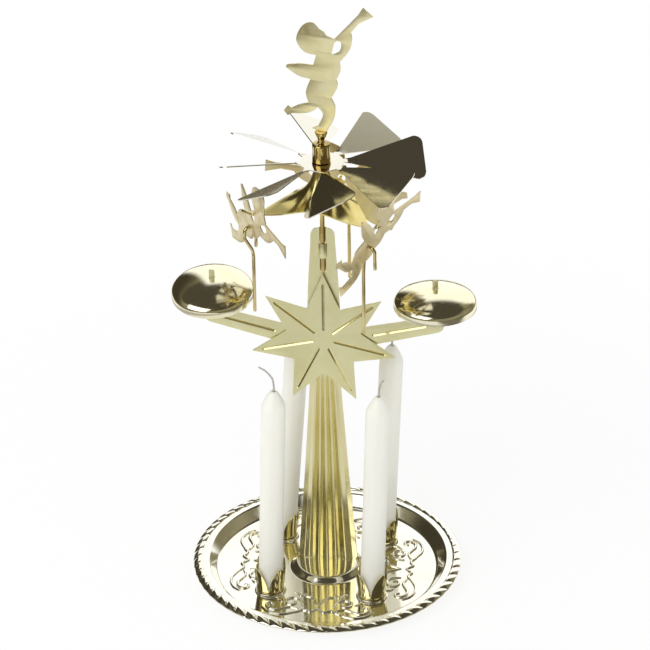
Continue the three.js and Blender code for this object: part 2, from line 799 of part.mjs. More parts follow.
function makeRotor() {
  const hole = hangerTubeRadius + runningGap
  const top = rotorUnder + rotorSheet
  let rotor = toSolid(turned([[hole, rotorUnder], [rotorDiscRadius, rotorUnder], [rotorDiscRadius, top],
    [hole, top], [hole, rotorUnder]]))
  for (let k = 0; k < vaneCount; k++) {
    rotor = rotor.add(vaneSolid(vaneTurnDeg * degree + k / vaneCount * fullTurn))
  }
  addMesh('rotor', toGeometry(rotor), brass)
}

function canopyAngle(step) {
  return hangerArmTurnDeg * degree + step / canopySegments * fullTurn
}

// Reach of the hanger's edge, longest along its three arms.
function hangerEdge(angle) {
  const sector = fullTurn / hangerArms
  const turn = angle - hangerArmTurnDeg * degree
  const off = Math.abs(turn - Math.round(turn / sector) * sector)
  const share = Math.pow(1 - off / (sector / 2), hangerArmPower)
  return hangerWaist + (hangerReach - hangerWaist) * share
}

function trumpetHeight(radius) {
  const rise = hangerShoulderTop - hangerEdgeHeight
  const reach = (radius - hangerTubeRadius) / (hangerReach - hangerTubeRadius)
  const next = Math.max(1, trumpetShares.findIndex(([share]) => share >= reach))
  const [lowShare, lowRise] = trumpetShares[next - 1]
  const [highShare, highRise] = trumpetShares[next]
  const along = (reach - lowShare) / (highShare - lowShare)
  return hangerEdgeHeight + rise * (lowRise + (highRise - lowRise) * along)
}

function hangerRings() {
  const bore = hangerTubeRadius - hangerSheet
  const neckRadius = hangerTubeRadius + trumpetShares[0][0] * (hangerReach - hangerTubeRadius)
  const neckHeight = trumpetHeight(neckRadius)
  const spreadShares = [0.12, 0.3, 0.6, 1]
  const circle = (radius, height) => {
    const ring = []
    for (let k = 0; k < canopySegments; k++) ring.push(polar(radius, canopyAngle(k), height))
    return ring
  }
  const skirt = (share, drop) => {
    const ring = []
    for (let k = 0; k < canopySegments; k++) {
      const angle = canopyAngle(k)
      const radius = neckRadius + (hangerEdge(angle) - neckRadius) * share
      ring.push(polar(radius - (1 - share) * drop, angle, trumpetHeight(radius) - drop))
    }
    return ring
  }
  return [
    circle(hangerTubeRadius, hangerTubeTop),
    circle(hangerTubeRadius, hangerShoulderTop),
    circle(hangerShoulderRadius, hangerShoulderTop),
    circle(neckRadius, neckHeight),
    ...spreadShares.map((share) => skirt(share, 0)),
    ...spreadShares.slice().reverse().map((share) => skirt(share, hangerSheet)),
    circle(neckRadius - hangerSheet, neckHeight - hangerSheet),
    circle(bore, hangerShoulderTop - hangerSheet),
    circle(bore, hangerTubeTop)
  ]
}

function makeHanger() {
  let hanger = toSolid(ringSolid(hangerRings(), true))
  const low = hookMiddle - hookThickness / 2
  const high = hookMiddle + hookThickness / 2
  const tipStart = hookSlopeLength - hookTipLength
  const half = hookThickness / 2
  const slope = boxSolid([0, -hookHalfWidth, -half], [hookSlopeLength, hookHalfWidth, half])
  const tip = boxSolid([tipStart, -hookTipHalfWidth, -half], [hookSlopeLength, hookTipHalfWidth, half])
  const rising = slope.add(tip).rotate([0, -hookSlopeDeg, 0]).translate([hookBendRadius, 0, hookMiddle])
  const level = boxSolid([hookRoot, -hookHalfWidth, low], [hookBendRadius + half, hookHalfWidth, high])
  const hook = level.add(rising)
  for (const place of angelPlaces) {
    hanger = hanger.add(hook.rotate([0, 0, place.azimuth]))
  }
  addMesh('hanger', toGeometry(hanger), brass)
}

function makeHub() {
  const inner = hangerTubeRadius + runningGap
  const ceiling = hubTop - hubSheet
  const crownShare = 0.9
  const waistShare = 0.95
  const waist = (hubBottom + hubTop) / 2
  let hub = toSolid(turned([[inner, hubBottom], [hubRadius, hubBottom], [hubRadius * waistShare, waist],
    [hubRadius, ceiling], [hubRadius * crownShare, hubTop], [hubNeckRadius, hubTop + hubSheet],
    [hubNeckRadius, hubNeckTop], [hubSocketRadius, hubSocketTop], [0, hubSocketTop], [0, ceiling],
    [inner, ceiling], [inner, hubBottom]]))
  const reach = hubSocketRadius + cutOverrun
  const half = angelSheet / 2 + runningGap
  const slot = boxSolid([-reach, -half, hubNeckTop], [reach, half, hubSocketTop + cutOverrun])
  hub = hub.subtract(slot.rotate([0, 0, topAngelTurnDeg]))
  addMesh('hub', toGeometry(hub), brass)
}

function makeBearing() {
  const flangeBottom = hangerTubeTop + seatGap
  const body = hangerTubeRadius - hangerSheet - runningGap
  const mouth = body - runningGap
  const profile = [[0, bearingBottom + bearingConeHeight], [mouth, bearingBottom], [body, bearingBottom],
    [body, flangeBottom], [bearingFlangeRadius, flangeBottom],
    [bearingFlangeRadius, flangeBottom + bearingFlangeHeight], [0, flangeBottom + bearingFlangeHeight]]
  addMesh('bearing', turned(profile, smallSegments), wireBrass)
}

function angelPoint([x, y]) {
  return new THREE.Vector2(x * angelWidth, y * angelHeight)
}

// Angel outline: straight strokes and smooth curves through its points.
function angelOutline() {
  const shape = new THREE.Shape()
  const start = angelPoint(angelStrokeShares[angelStrokeShares.length - 1].line.slice(-1)[0])
  shape.moveTo(start.x, start.y)
  for (const { line, curve } of angelStrokeShares) {
    if (curve) shape.splineThru(curve.map(angelPoint))
    else for (const point of line.map(angelPoint)) shape.lineTo(point.x, point.y)
  }
  return shape
}

function armHoleOutline() {
  const [first, ...rest] = angelArmHoleShares.map(angelPoint)
  const shape = new THREE.Shape()
  shape.moveTo(first.x, first.y)
  shape.splineThru([...rest, first])
  return shape
}

function flatPlate(shape, thickness) {
  const plate = new THREE.ExtrudeGeometry(shape, {
    depth: thickness, bevelEnabled: false, curveSegments: angelCurveSteps
  })
  return toSolid(plate.translate(0, 0, -thickness / 2))
}

// The flat angel lying in X and Y, with round holes at the given shares.
function angelPlate(holes) {
  const cut = angelSheet + cutOverrun
  let plate = flatPlate(angelOutline(), angelSheet).subtract(flatPlate(armHoleOutline(), cut))
  for (const { shares, radius } of holes) {
    const { x, y } = angelPoint(shares)
    plate = plate.subtract(rodSolid(radius, -cut, cut, x, y))
  }
  return plate
}

function makeTopAngel() {
  const foot = angelPoint(topTabShares)
  const tab = boxSolid([foot.x - topTabHalfWidth, -topTabDepth, -angelSheet / 2],
    [foot.x + topTabHalfWidth, foot.y, angelSheet / 2])
  const geometry = toGeometry(angelPlate([]).add(tab)).translate(-foot.x, 0, 0).rotateX(quarterTurn)
  const mesh = addMesh('angel_top', geometry, angelGold)
  mesh.position.z = topAngelFoot
  mesh.rotation.z = topAngelTurnDeg * degree
}

// Clapper wire from its short leg over the bend and down to its foot.
function clapperPath(length, side, inset) {
  const reach = clapperHookRadius
  const points = [new THREE.Vector3(0, -side * reach, -reach - clapperFreeLeg)]
  const bendSteps = 4
  for (let k = 0; k <= bendSteps; k++) {
    const angle = halfTurn - k / bendSteps * halfTurn
    points.push(new THREE.Vector3(0, side * reach * Math.cos(angle), reach * Math.sin(angle) - reach))
  }
  points.push(new THREE.Vector3(0, side * reach, -clapperJogStart))
  points.push(new THREE.Vector3(0, inset, -clapperJogEnd))
  points.push(new THREE.Vector3(0, inset, -length))
  return points
}

// Where an angel hangs on its hook, on the flat or some way up the slope.
function hookPlace(place) {
  const slope = place.slide > 0 ? hookSlopeDeg * degree : 0
  const start = place.slide > 0 ? hookBendRadius : hookRadius
  const radius = start + place.slide * Math.cos(slope)
  return { radius, height: hookMiddle + place.slide * Math.sin(slope) }
}

// A hanging angel on its hook and the clapper in the angel's lower hole.
function makeHangingAngel(place) {
  const { radius, height } = hookPlace(place)
  const heading = (place.azimuth + place.yawDeg) * degree + quarterTurn
  const holder = new THREE.Group()
  holder.position.copy(polar(radius, place.azimuth * degree, height))
  holder.rotation.set(place.rollDeg * degree, 0, heading, 'ZYX')
  group.add(holder)
  const pitch = place.pitchDeg * degree
  const hook = angelPoint(angelHoleShares)
  const geometry = toGeometry(angelPlate([
    { shares: angelHoleShares, radius: angelHoleRadius },
    { shares: clapperHoleShares, radius: clapperWireRadius + clapperHoleGap }
  ]))
  geometry.translate(-hook.x, -hook.y, 0).rotateZ(pitch)
  geometry.translate(0, -angelHoleDrop, 0).rotateX(quarterTurn)
  addMesh(`angel_${place.name}`, geometry, angelGold, holder)
  const offset = angelPoint(clapperHoleShares).sub(hook).rotateAround(new THREE.Vector2(), pitch)
  holder.updateMatrixWorld()
  const hinge = holder.localToWorld(new THREE.Vector3(offset.x, 0, offset.y - angelHoleDrop))
  const path = clapperPath(hinge.z - clapperFoot, place.side, place.legInset)
  const wire = wireAlong(path, clapperWireRadius, new THREE.Vector3(1, 0, 0))
  const clapper = addMesh(`clapper_${place.name}`, wire, wireBrass)
  clapper.position.copy(hinge)
  clapper.rotation.z = heading
}

makeTray()
for (const place of candlePlaces) {
  makeCup(place)
  makeRivet(place)
  makeCandle(place)
}
makeStem()
makeSpindle()
makeCrossbar()
makeStar()
makeBell('bell_left', -1, bellTiltDeg)
makeBell('bell_right', 1, 0)
makeRotor()
makeHanger()
makeHub()
makeBearing()
makeTopAngel()
for (const place of angelPlaces) makeHangingAngel(place)

export default group
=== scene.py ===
"""Angel chime: brass tray, candles, stem, star, bells and rotor with hanging angels, over its frame.

The object's lengths are in millimetres; the camera, the lights and the floor are in metres.
Z is up and the front faces -Y.
"""
import json
import math

import bmesh
import bpy
import numpy as np
from mathutils import Matrix, Vector


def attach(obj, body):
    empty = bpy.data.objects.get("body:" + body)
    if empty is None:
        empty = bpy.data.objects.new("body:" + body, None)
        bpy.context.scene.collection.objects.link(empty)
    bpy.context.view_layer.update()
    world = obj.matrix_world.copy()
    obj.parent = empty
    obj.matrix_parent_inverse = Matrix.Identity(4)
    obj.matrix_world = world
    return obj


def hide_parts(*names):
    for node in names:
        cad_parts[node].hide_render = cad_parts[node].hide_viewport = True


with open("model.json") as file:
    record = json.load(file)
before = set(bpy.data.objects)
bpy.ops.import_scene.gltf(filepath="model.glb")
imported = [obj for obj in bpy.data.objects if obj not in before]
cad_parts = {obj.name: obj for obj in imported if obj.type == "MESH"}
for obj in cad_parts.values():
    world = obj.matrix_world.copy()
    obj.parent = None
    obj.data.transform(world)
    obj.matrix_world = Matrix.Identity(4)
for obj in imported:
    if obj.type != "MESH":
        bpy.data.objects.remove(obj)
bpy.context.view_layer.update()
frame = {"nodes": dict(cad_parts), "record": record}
bodies = frame["record"]["behaviour"]["bodies"]
body_of_node = {node: body for body, nodes in bodies.items() for node in nodes}

MM = 0.001
TAU = 2 * math.pi
MERGE = 2e-6  # metres within which points become one
SHARP, SHARP_PLATE, SHARP_GROOVE = 32, 40, 22  # degrees beyond which an edge isn't shaded smooth
CAP_RINGS = ((0.55, 0.84), (0.9, 0.45))  # a wire's end: shares of its radius along and across
scene = bpy.context.scene


# Helpers

def linear(colour):
    """An 8-bit sRGB colour as Blender's linear values."""
    shares = [value / 255 for value in colour]
    return (*(c / 12.92 if c <= 0.04045 else ((c + 0.055) / 1.055) ** 2.4 for c in shares), 1)


def new_object(name, data):
    obj = bpy.data.objects.new(name, data)
    scene.collection.objects.link(obj)
    return obj


def shift(x, y, z):
    """The matrix that moves by millimetres."""
    return Matrix.Translation((x * MM, y * MM, z * MM))


def turned(degrees, axis):
    return Matrix.Rotation(math.radians(degrees), 4, axis)


def clean(mesh, sharp=SHARP):
    """Merges doubles, turns the faces outward and shades smooth up to the sharp angle."""
    bm = bmesh.new()
    bm.from_mesh(mesh)
    bmesh.ops.remove_doubles(bm, verts=bm.verts, dist=MERGE)
    bmesh.ops.recalc_face_normals(bm, faces=bm.faces)
    bm.to_mesh(mesh)
    bm.free()
    mesh.shade_smooth()
    mesh.set_sharp_from_angle(angle=math.radians(sharp))


def solid_mesh(name, parts):
    """One mesh from parts, each a list of vertices in millimetres and a list of faces."""
    verts, faces = [], []
    for part_verts, part_faces in parts:
        start = len(verts)
        verts.extend(tuple(v) for v in part_verts)
        faces.extend(tuple(start + i for i in f) for f in part_faces)
    mesh = bpy.data.meshes.new(name)
    mesh.from_pydata((np.array(verts, float) * MM).tolist(), [], faces)
    return mesh


def loose(parts, name="cutter"):
    """A bare object in the scene, to cut with or to work on."""
    mesh = solid_mesh(name, parts)
    clean(mesh)
    return new_object(name, mesh)


def add(name, parts, material, nodes, slot, matrix=None, sharp=SHARP):
    """One piece from mesh parts, dressed."""
    mesh = solid_mesh(name, parts)
    if matrix is not None:
        mesh.transform(matrix)
    clean(mesh, sharp)
    dress(new_object(name, mesh), material, nodes, slot)


def give(mesh, *materials):
    mesh.materials.clear()
    for material in materials:
        mesh.materials.append(material)


def dress(obj, material, nodes, slot, *more):
    """Gives a piece its materials. It replaces the CAD nodes and rides with the first."""
    places = [face.material_index for face in obj.data.polygons]
    give(obj.data, material, *more)
    if more:
        obj.data.polygons.foreach_set("material_index", places)
    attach(obj, body_of_node[nodes[0]])
    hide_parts(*nodes)


def evaluated(obj):
    """A new mesh of the object as its modifiers or its curve's settings make it."""
    graph = bpy.context.evaluated_depsgraph_get()
    return bpy.data.meshes.new_from_object(obj.evaluated_get(graph))


def cut(obj, cutter, operation="DIFFERENCE", inside=None):
    """Cuts one object by another in place, and removes the cutter.

    With a pair of materials as inside, the cut's own faces take the second.
    """
    if inside:
        give(obj.data, *inside)
        give(cutter.data, *inside)
        cutter.data.polygons.foreach_set("material_index", [1] * len(cutter.data.polygons))
    modifier = obj.modifiers.new("cut", "BOOLEAN")
    modifier.object = cutter
    modifier.operation = operation
    modifier.solver = "EXACT"
    mesh = evaluated(obj)
    obj.modifiers.clear()
    obj.data = mesh
    bpy.data.objects.remove(cutter)
    clean(mesh, SHARP_GROOVE if inside else SHARP)


def monotone(points, at):
    """Smooth curve without overshoot through [x, y] points, read at the given x."""
    x, y = np.array(points, float).T
    h = np.diff(x)
    d = np.diff(y) / h
    m = np.zeros(len(x))
    for i in range(1, len(x) - 1):
        if d[i - 1] * d[i] > 0:
            w1, w2 = 2 * h[i] + h[i - 1], h[i] + 2 * h[i - 1]
            m[i] = (w1 + w2) / (w1 / d[i - 1] + w2 / d[i])
    m[0], m[-1] = d[0], d[-1]
    at = np.clip(np.asarray(at, float), x[0], x[-1])
    i = np.clip(np.searchsorted(x, at) - 1, 0, len(x) - 2)
    t = (at - x[i]) / h[i]
    return (y[i] * (1 + 2 * t) * (1 - t) ** 2 + h[i] * m[i] * t * (1 - t) ** 2
            + y[i + 1] * t * t * (3 - 2 * t) + h[i] * m[i + 1] * t * t * (t - 1))


def spline(points, steps, cyclic=False):
    """Catmull-Rom curve through points, in steps from each to the next."""
    pts = [np.array(p, float) for p in points]
    count = len(pts)
    out = []
    for i in range(count if cyclic else count - 1):
        if cyclic:
            a, b, c, d = (pts[(i + k) % count] for k in (-1, 0, 1, 2))
        else:
            a, b, c, d = pts[max(i - 1, 0)], pts[i], pts[i + 1], pts[min(i + 2, count - 1)]
        for s in range(steps):
            t = s / steps
            out.append(0.5 * (2 * b + (c - a) * t + (2 * a - 5 * b + 4 * c - d) * t * t
                              + (3 * b - a - 3 * c + d) * t ** 3))
    if not cyclic:
        out.append(pts[-1])
    return out


def fillet(points, radius, steps, closed=False):
    """Rounds the corners of a polyline. A corner takes less than half of a side next to it."""
    most = 0.48
    pts = [np.array(p, float) for p in points]
    count = len(pts)
    out = []
    for i, p in enumerate(pts):
        if not closed and i in (0, count - 1):
            out.append(p)
            continue
        a, b = pts[i - 1], pts[(i + 1) % count]
        la, lb = np.linalg.norm(a - p), np.linalg.norm(b - p)
        reach = min(radius, la * most, lb * most)
        start, end = p + (a - p) / la * reach, p + (b - p) / lb * reach
        for k in range(steps + 1):
            t = k / steps
            out.append((1 - t) ** 2 * start + 2 * t * (1 - t) * p + t * t * end)
    return out


def turns(count):
    return [TAU * k / count for k in range(count)]


def arc(radius, angles, z):
    """A row of points about Z."""
    return [(radius * math.cos(a), radius * math.sin(a), z) for a in angles]


def circle(centre, radius):
    return [(centre[0] + x, centre[1] + y) for x, y, _ in arc(radius, turns(32), 0)]


def lathe(profile, segments, centre=(0, 0), closed=False):
    """Turns [radius, height] pairs about Z."""
    on_axis = 1e-5
    verts, faces, rings = [], [], []
    for r, z in profile:
        if r < on_axis:
            rings.append([len(verts)])
            verts.append((centre[0], centre[1], z))
            continue
        rings.append(list(range(len(verts), len(verts) + segments)))
        verts += [(centre[0] + x, centre[1] + y, z) for x, y, _ in arc(r, turns(segments), z)]
    if closed:
        rings.append(rings[0])
    for a, b in zip(rings, rings[1:]):
        for k in range(segments):
            j = (k + 1) % segments
            if len(a) == 1 and len(b) > 1:
                faces.append((a[0], b[j], b[k]))
            elif len(b) == 1 and len(a) > 1:
                faces.append((a[k], a[j], b[0]))
            elif len(a) > 1:
                faces.append((a[k], a[j], b[j], b[k]))
    return verts, faces


def rings_mesh(rings, closed=True):
    """Joins rings of equally many points, round in both ways when closed, and capped when not."""
    count = len(rings[0])
    verts = [p for ring in rings for p in ring]
    faces = []
    for i in range(len(rings) if closed else len(rings) - 1):
        a, b = i * count, (i + 1) % len(rings) * count
        for k in range(count):
            j = (k + 1) % count
            faces.append((a + k, a + j, b + j, b + k))
    if not closed:
        faces.append(tuple(range(count)))
        faces.append(tuple(reversed(range(len(verts) - count, len(verts)))))
    return verts, faces


def sheet(rows):
    """A thin sheet through rows, each of its front points and its back points."""
    rings = [front + back[::-1] for front, back in rows]
    count = len(rows[0][0])
    verts, faces = rings_mesh(rings, closed=False)
    faces = faces[:-2]  # The ends are rows of quads instead
    last = (len(rings) - 1) * count * 2
    for k in range(count - 1):
        o = 2 * count - 1 - k
        faces.append((k, k + 1, o - 1, o))
        faces.append((last + k + 1, last + k, last + o, last + o - 1))
    return verts, faces


def tube(points, radii, sides, normal, flat=1.0, ends=True):
    """A round or flattened wire along points, a radius for each, its frame held to the normal."""
    pts = [np.array(p, float) for p in points]
    rings = []
    for i, (p, r) in enumerate(zip(pts, radii)):
        tangent = pts[min(i + 1, len(pts) - 1)] - pts[max(i - 1, 0)]
        tangent /= np.linalg.norm(tangent)
        across = np.cross(tangent, normal)
        across /= np.linalg.norm(across)
        up = np.cross(across, tangent)
        rings.append([p + r * (math.cos(a) * across + flat * math.sin(a) * up)
                      for a in np.linspace(0, TAU, sides, endpoint=False)])

    def cap(end, before):
        """Narrowing rings beyond an end, so that it looks rounded."""
        ring, centre = rings[end], pts[end]
        out = centre - pts[before]
        push = out / np.linalg.norm(out) * np.linalg.norm(ring[0] - centre)
        return [[centre + push * s + (q - centre) * c for q in ring] for s, c in CAP_RINGS]

    if ends:
        rings = cap(0, 1)[::-1] + rings + cap(-1, -2)
    return rings_mesh(rings, closed=False)


def block(low, high):
    """A box between two corners."""
    x, y, z = zip(low, high)
    verts = [(x[i], y[j], z[k]) for i in (0, 1) for j in (0, 1) for k in (0, 1)]
    return verts, [(0, 1, 3, 2), (4, 6, 7, 5), (0, 4, 5, 1), (2, 3, 7, 6), (0, 2, 6, 4), (1, 5, 7, 3)]


def plate(name, loops, thickness, bevel=0.08):
    """A flat plate in X and Y with softened edges, centred on Z, cut to closed loops of points."""
    curve = bpy.data.curves.new(name, "CURVE")
    curve.dimensions = "2D"
    curve.fill_mode = "BOTH"
    curve.extrude = (thickness / 2 - bevel) * MM
    curve.bevel_depth = bevel * MM
    curve.bevel_resolution = 2
    curve.offset = -bevel * MM
    for loop in loops:
        line = curve.splines.new("POLY")
        line.points.add(len(loop) - 1)
        line.points.foreach_set("co", [c for p in loop for c in (p[0] * MM, p[1] * MM, 0, 1)])
        line.use_cyclic_u = True
    obj = new_object(name, curve)
    mesh = evaluated(obj)
    bpy.data.objects.remove(obj)
    clean(mesh, SHARP_PLATE)
    return new_object(name, mesh)


# Materials

class Tree:
    """Short ways to wire the nodes of a material or of the world."""

    def __init__(self, owner):
        owner.use_nodes = True
        self.owner = owner
        self.nodes = owner.node_tree.nodes

    def add(self, kind, **values):
        """A new node. Each value is for its property of that name, or else for that input."""
        node = self.nodes.new(kind)
        for key, value in values.items():
            if hasattr(node, key):
                setattr(node, key, value)
            else:
                node.inputs[key.replace("_", " ")].default_value = value
        return node

    def link(self, a, b):
        self.owner.node_tree.links.new(a, b)

    def join(self, operation, a, b):
        node = self.add("ShaderNodeMath", operation=operation)
        self.link(a, node.inputs[0])
        self.link(b, node.inputs[1])
        return node.outputs[0]

    def smooth(self, source, low, high, first=0.0, second=1.0):
        """Goes from the first value to the second as the source goes from low to high."""
        node = self.add("ShaderNodeMapRange", interpolation_type="SMOOTHSTEP",
                        From_Min=low, From_Max=high, To_Min=first, To_Max=second)
        self.link(source, node.inputs["Value"])
        return node.outputs["Result"]

    def between(self, fac, first, second):
        """A mix of two colours, each a tuple or a node's output."""
        node = self.add("ShaderNodeMix", data_type="RGBA")
        self.link(fac, node.inputs["Factor"])
        for colour, socket in ((first, node.inputs[6]), (second, node.inputs[7])):
            if isinstance(colour, tuple):
                socket.default_value = colour
            else:
                self.link(colour, socket)
        return node.outputs[2]

    def mixed(self, fac, first, second):
        """A mix of two shader nodes."""
        node = self.add("ShaderNodeMixShader")
        for source, key in ((fac, "Fac"), (first.outputs[0], 1), (second.outputs[0], 2)):
            self.link(source, node.inputs[key])
        return node


class Paint(Tree):
    """A new material's nodes."""

    def __init__(self, name):
        super().__init__(bpy.data.materials.new(name))
        self.shader = self.nodes["Principled BSDF"]
        self.place = self.add("ShaderNodeTexCoord").outputs["Object"]

    def noise(self, size, stretch=(1, 1, 1), detail=2.0):
        """Noise with features about size millimetres across, drawn out by the stretch."""
        mapping = self.add("ShaderNodeMapping")
        mapping.inputs["Scale"].default_value = [1 / s for s in stretch]
        self.link(self.place, mapping.inputs["Vector"])
        node = self.add("ShaderNodeTexNoise", Scale=1000 / size, Detail=detail)
        self.link(mapping.outputs["Vector"], node.inputs["Vector"])
        return node.outputs["Fac"]

    def ranged(self, noise, low, high):
        """Spreads the middle of a noise, where most of it lies, from low to high."""
        node = self.add("ShaderNodeMapRange", From_Min=0.3, From_Max=0.7, To_Min=low, To_Max=high)
        self.link(noise, node.inputs["Value"])
        return node.outputs["Result"]

    def colour(self, noise, first, second):
        mix = self.between(self.ranged(noise, 0, 1), linear(first), linear(second))
        self.link(mix, self.shader.inputs["Base Color"])

    def roughness(self, noise, low, high):
        self.link(self.ranged(noise, low, high), self.shader.inputs["Roughness"])

    def bump(self, height, depth):
        node = self.add("ShaderNodeBump", Strength=1.0, Distance=depth * MM)
        self.link(height, node.inputs["Height"])
        self.link(node.outputs["Normal"], self.shader.inputs["Normal"])


def metal(name, colour, shade, rough, mottle, streak=None, grain=None, grain_depth=0.0):
    """Brass of one colour clouded with a second over the mottle's size, its roughness varied.

    The streak of its roughness and the brushed grain are each a noise's size and stretch.
    """
    paint = Paint(name)
    paint.shader.inputs["Metallic"].default_value = 1.0
    paint.colour(paint.noise(mottle, detail=3.0), colour, shade)
    paint.roughness(paint.noise(*streak) if streak else paint.noise(2.2, detail=4.0), *rough)
    if grain:
        paint.bump(paint.noise(*grain, detail=3.0), grain_depth)
    return paint.owner


def wax(name, colour, shade):
    paint = Paint(name)
    paint.colour(paint.noise(9, (1, 1, 3)), colour, shade)
    paint.roughness(paint.noise(3), 0.36, 0.5)
    for key, value in (("Weight", 0.25), ("Radius", (1.0, 1.0, 1.0)), ("Scale", 0.004)):
        paint.shader.inputs[f"Subsurface {key}"].default_value = value
    paint.bump(paint.noise(5, (1, 1, 4)), 0.12)
    return paint.owner


def cotton(name, colour, shade):
    paint = Paint(name)
    paint.colour(paint.noise(0.5, (1, 1, 2)), colour, shade)
    paint.roughness(paint.noise(1), 0.8, 0.95)
    paint.bump(paint.noise(0.35, (1, 1, 3)), 0.15)
    return paint.owner


TRAY = metal("tray_brass", (254, 253, 243), (253, 249, 231), (0.06, 0.13), mottle=30)
BELL = metal("bell_brass", (253, 249, 226), (247, 239, 202), (0.07, 0.17), mottle=25,
             streak=(0.9, (1, 1, 6)))
CUP = metal("cup_brass", (248, 239, 192), (238, 225, 162), (0.06, 0.12), mottle=8)
ROTOR = metal("rotor_brass", (240, 237, 225), (235, 231, 214), (0.06, 0.12), mottle=24)
HANGER = metal("hanger_brass", (236, 222, 156), (224, 206, 130), (0.10, 0.18), mottle=16)
HUB = metal("hub_brass", (208, 188, 122), (168, 142, 84), (0.08, 0.14), mottle=7)
STEM = metal("stem_brass", (234, 227, 185), (226, 217, 165), (0.12, 0.20), mottle=22,
             streak=(1.4, (1, 1, 40)), grain=(1.1, (1, 1, 90)), grain_depth=0.004)
TONGUE = metal("tongue_brass", (241, 237, 192), (234, 229, 178), (0.32, 0.44), mottle=12,
               grain=(0.6, (40, 1, 1)), grain_depth=0.05)
GROOVE = metal("groove_brass", (244, 236, 190), (232, 222, 168), (0.06, 0.12), mottle=4)
ANGEL_TOP = metal("angel_gold", (254, 247, 202), (250, 239, 184), (0.28, 0.38), mottle=10,
                  grain=(0.7, (20, 20, 1)), grain_depth=0.02)
# The hanging angels' brass: the same brass as the top angel's, painted darker as painted shade.
ANGEL_SHADED = metal("angel_satin_shaded", (235, 222, 180), (225, 210, 164), (0.28, 0.40), mottle=10,
              grain=(0.7, (14, 14, 1)), grain_depth=0.02)
WIRE = metal("wire_brass", (230, 216, 164), (210, 188, 128), (0.10, 0.18), mottle=6)
SPINDLE = metal("spindle_brass", (232, 214, 154), (208, 180, 112), (0.10, 0.18), mottle=7,
                streak=(0.6, (1, 1, 20)))
WAX = wax("white_wax", (252, 251, 241), (249, 247, 235))
WICK = cotton("wick_cotton", (206, 204, 196), (172, 168, 158))


# Tray

PLATEAU_TOP, PLATEAU_UNDER, FLOOR, RIM = 3.4, 2.6, 0.8, 6.4  # heights
PLATEAU = 14.9  # radius
CUP_CIRCLE = 34.7

# By candle: its azimuth and lean in degrees, and how high and how far aside its wick reaches
PLACES = {"front_left": (225, 2, 12, -7), "front_right": (315, 2, 8.5, 1.8),
          "back_right": (45, 2.5, 11, 1.2), "back_left": (135, 4.5, 9.5, -1.5)}

# Half of the ornament between two candles: each line's half width, and its points across and out
SCROLLS = [
    (0.74, [(0, 35.8), (1.2, 33.4), (2.3, 31), (4.2, 29), (6.2, 28.6), (7.4, 27), (9.2, 28.4),
            (10.6, 26.6), (12.6, 25.6)]),
    (0.78, [(0, 38.6), (1.5, 40), (3.2, 41.6), (5, 40.6), (7.2, 40.3), (9, 41.6), (11, 42.6)]),
    (0.85, [(7.8, 36.4), (8.4, 33), (10.6, 30.8), (13.4, 30.6), (15.6, 32.4), (15.4, 35), (13, 36.3),
            (11, 35.2), (11.4, 33.6)]),
    (0.85, [(9.4, 39.6), (13, 38.4), (16, 39.4), (19.4, 41), (22.6, 40.6), (24.6, 38.2), (24, 35.8),
            (22, 35.6), (21.4, 37.2)]),
    (0.74, [(11, 42.6), (15, 44.4), (19.5, 44.6), (24, 42.6), (26.6, 39.4)]),
    (0.62, [(17.6, 34.4), (19.4, 32.6), (19.6, 30.4)]),
]


def place_point(name):
    azimuth = math.radians(PLACES[name][0])
    return CUP_CIRCLE * math.cos(azimuth), CUP_CIRCLE * math.sin(azimuth)


def tray_dish():
    """The dish, turned about Z, with slanted beads like a rope's around its rim."""
    beads, per_bead, slant, roundness = 62, 10, 0.55, 0.55
    inner, outer, outer_foot = 60.8, 65, 5.1
    fall, bead_height, bead_loss = 0.9, 0.95, 0.25
    crease, crease_at, crease_width = 0.35, 0.02, 0.05
    count = beads * per_bead
    angles = turns(count)
    top = fillet([(0, PLATEAU_TOP), (PLATEAU, PLATEAU_TOP), (17.6, FLOOR), (53.3, FLOOR), (57.6, RIM),
                  (59.4, RIM)], 1.1, 6)
    under = fillet([(64.2, 4.7), (60.8, 5.6), (58.5, 5.6), (53.9, 0), (17.4, 0), (14.6, PLATEAU_UNDER),
                    (3, PLATEAU_UNDER)], 1.0, 4)
    middle = [(PLATEAU * k / 3, PLATEAU_TOP) for k in (1, 2)]
    rows = [arc(r, angles, z) for r, z in middle + top[1:]]
    for q in np.linspace(0, 1, 15):
        r = inner + (outer - inner) * q
        across = math.sin(math.pi * (0.5 + (q - 0.5) * 0.98)) ** 0.5
        groove = -crease * math.exp(-((q - crease_at) / crease_width) ** 2)
        row = []
        for k, a in enumerate(angles):
            phase = (k / per_bead - slant * q) % 1
            swell = math.sin(math.pi * phase) ** roundness * across
            height = RIM - fall * q * q + bead_height * swell * (1 - bead_loss * q) + groove
            row.append((r * math.cos(a), r * math.sin(a), height))
        rows.append(row)
    rows += [arc(r, angles, z) for r, z in [(outer, outer_foot)] + under]
    verts = [(0, 0, PLATEAU_TOP)] + [p for row in rows for p in row] + [(0, 0, PLATEAU_UNDER)]
    faces = []
    last = 1 + (len(rows) - 1) * count
    for k in range(count):
        j = (k + 1) % count
        faces.append((0, 1 + j, 1 + k))
        faces.append((last + k, last + j, len(verts) - 1))
        for i in range(len(rows) - 1):
            a, b = 1 + i * count, 1 + (i + 1) * count
            faces.append((a + k, a + j, b + j, b + k))
    return verts, faces


def pads():
    """A low round pad under each cup."""
    line = fillet([(1.5, 1.8), (6.5, 1.8), (6.7, 2.05), (7.2, 2.05), (7.75, 0.6), (1.5, 0.6)], 0.3, 4)
    return [lathe(line, 64, place_point(name), closed=True) for name in PLACES]


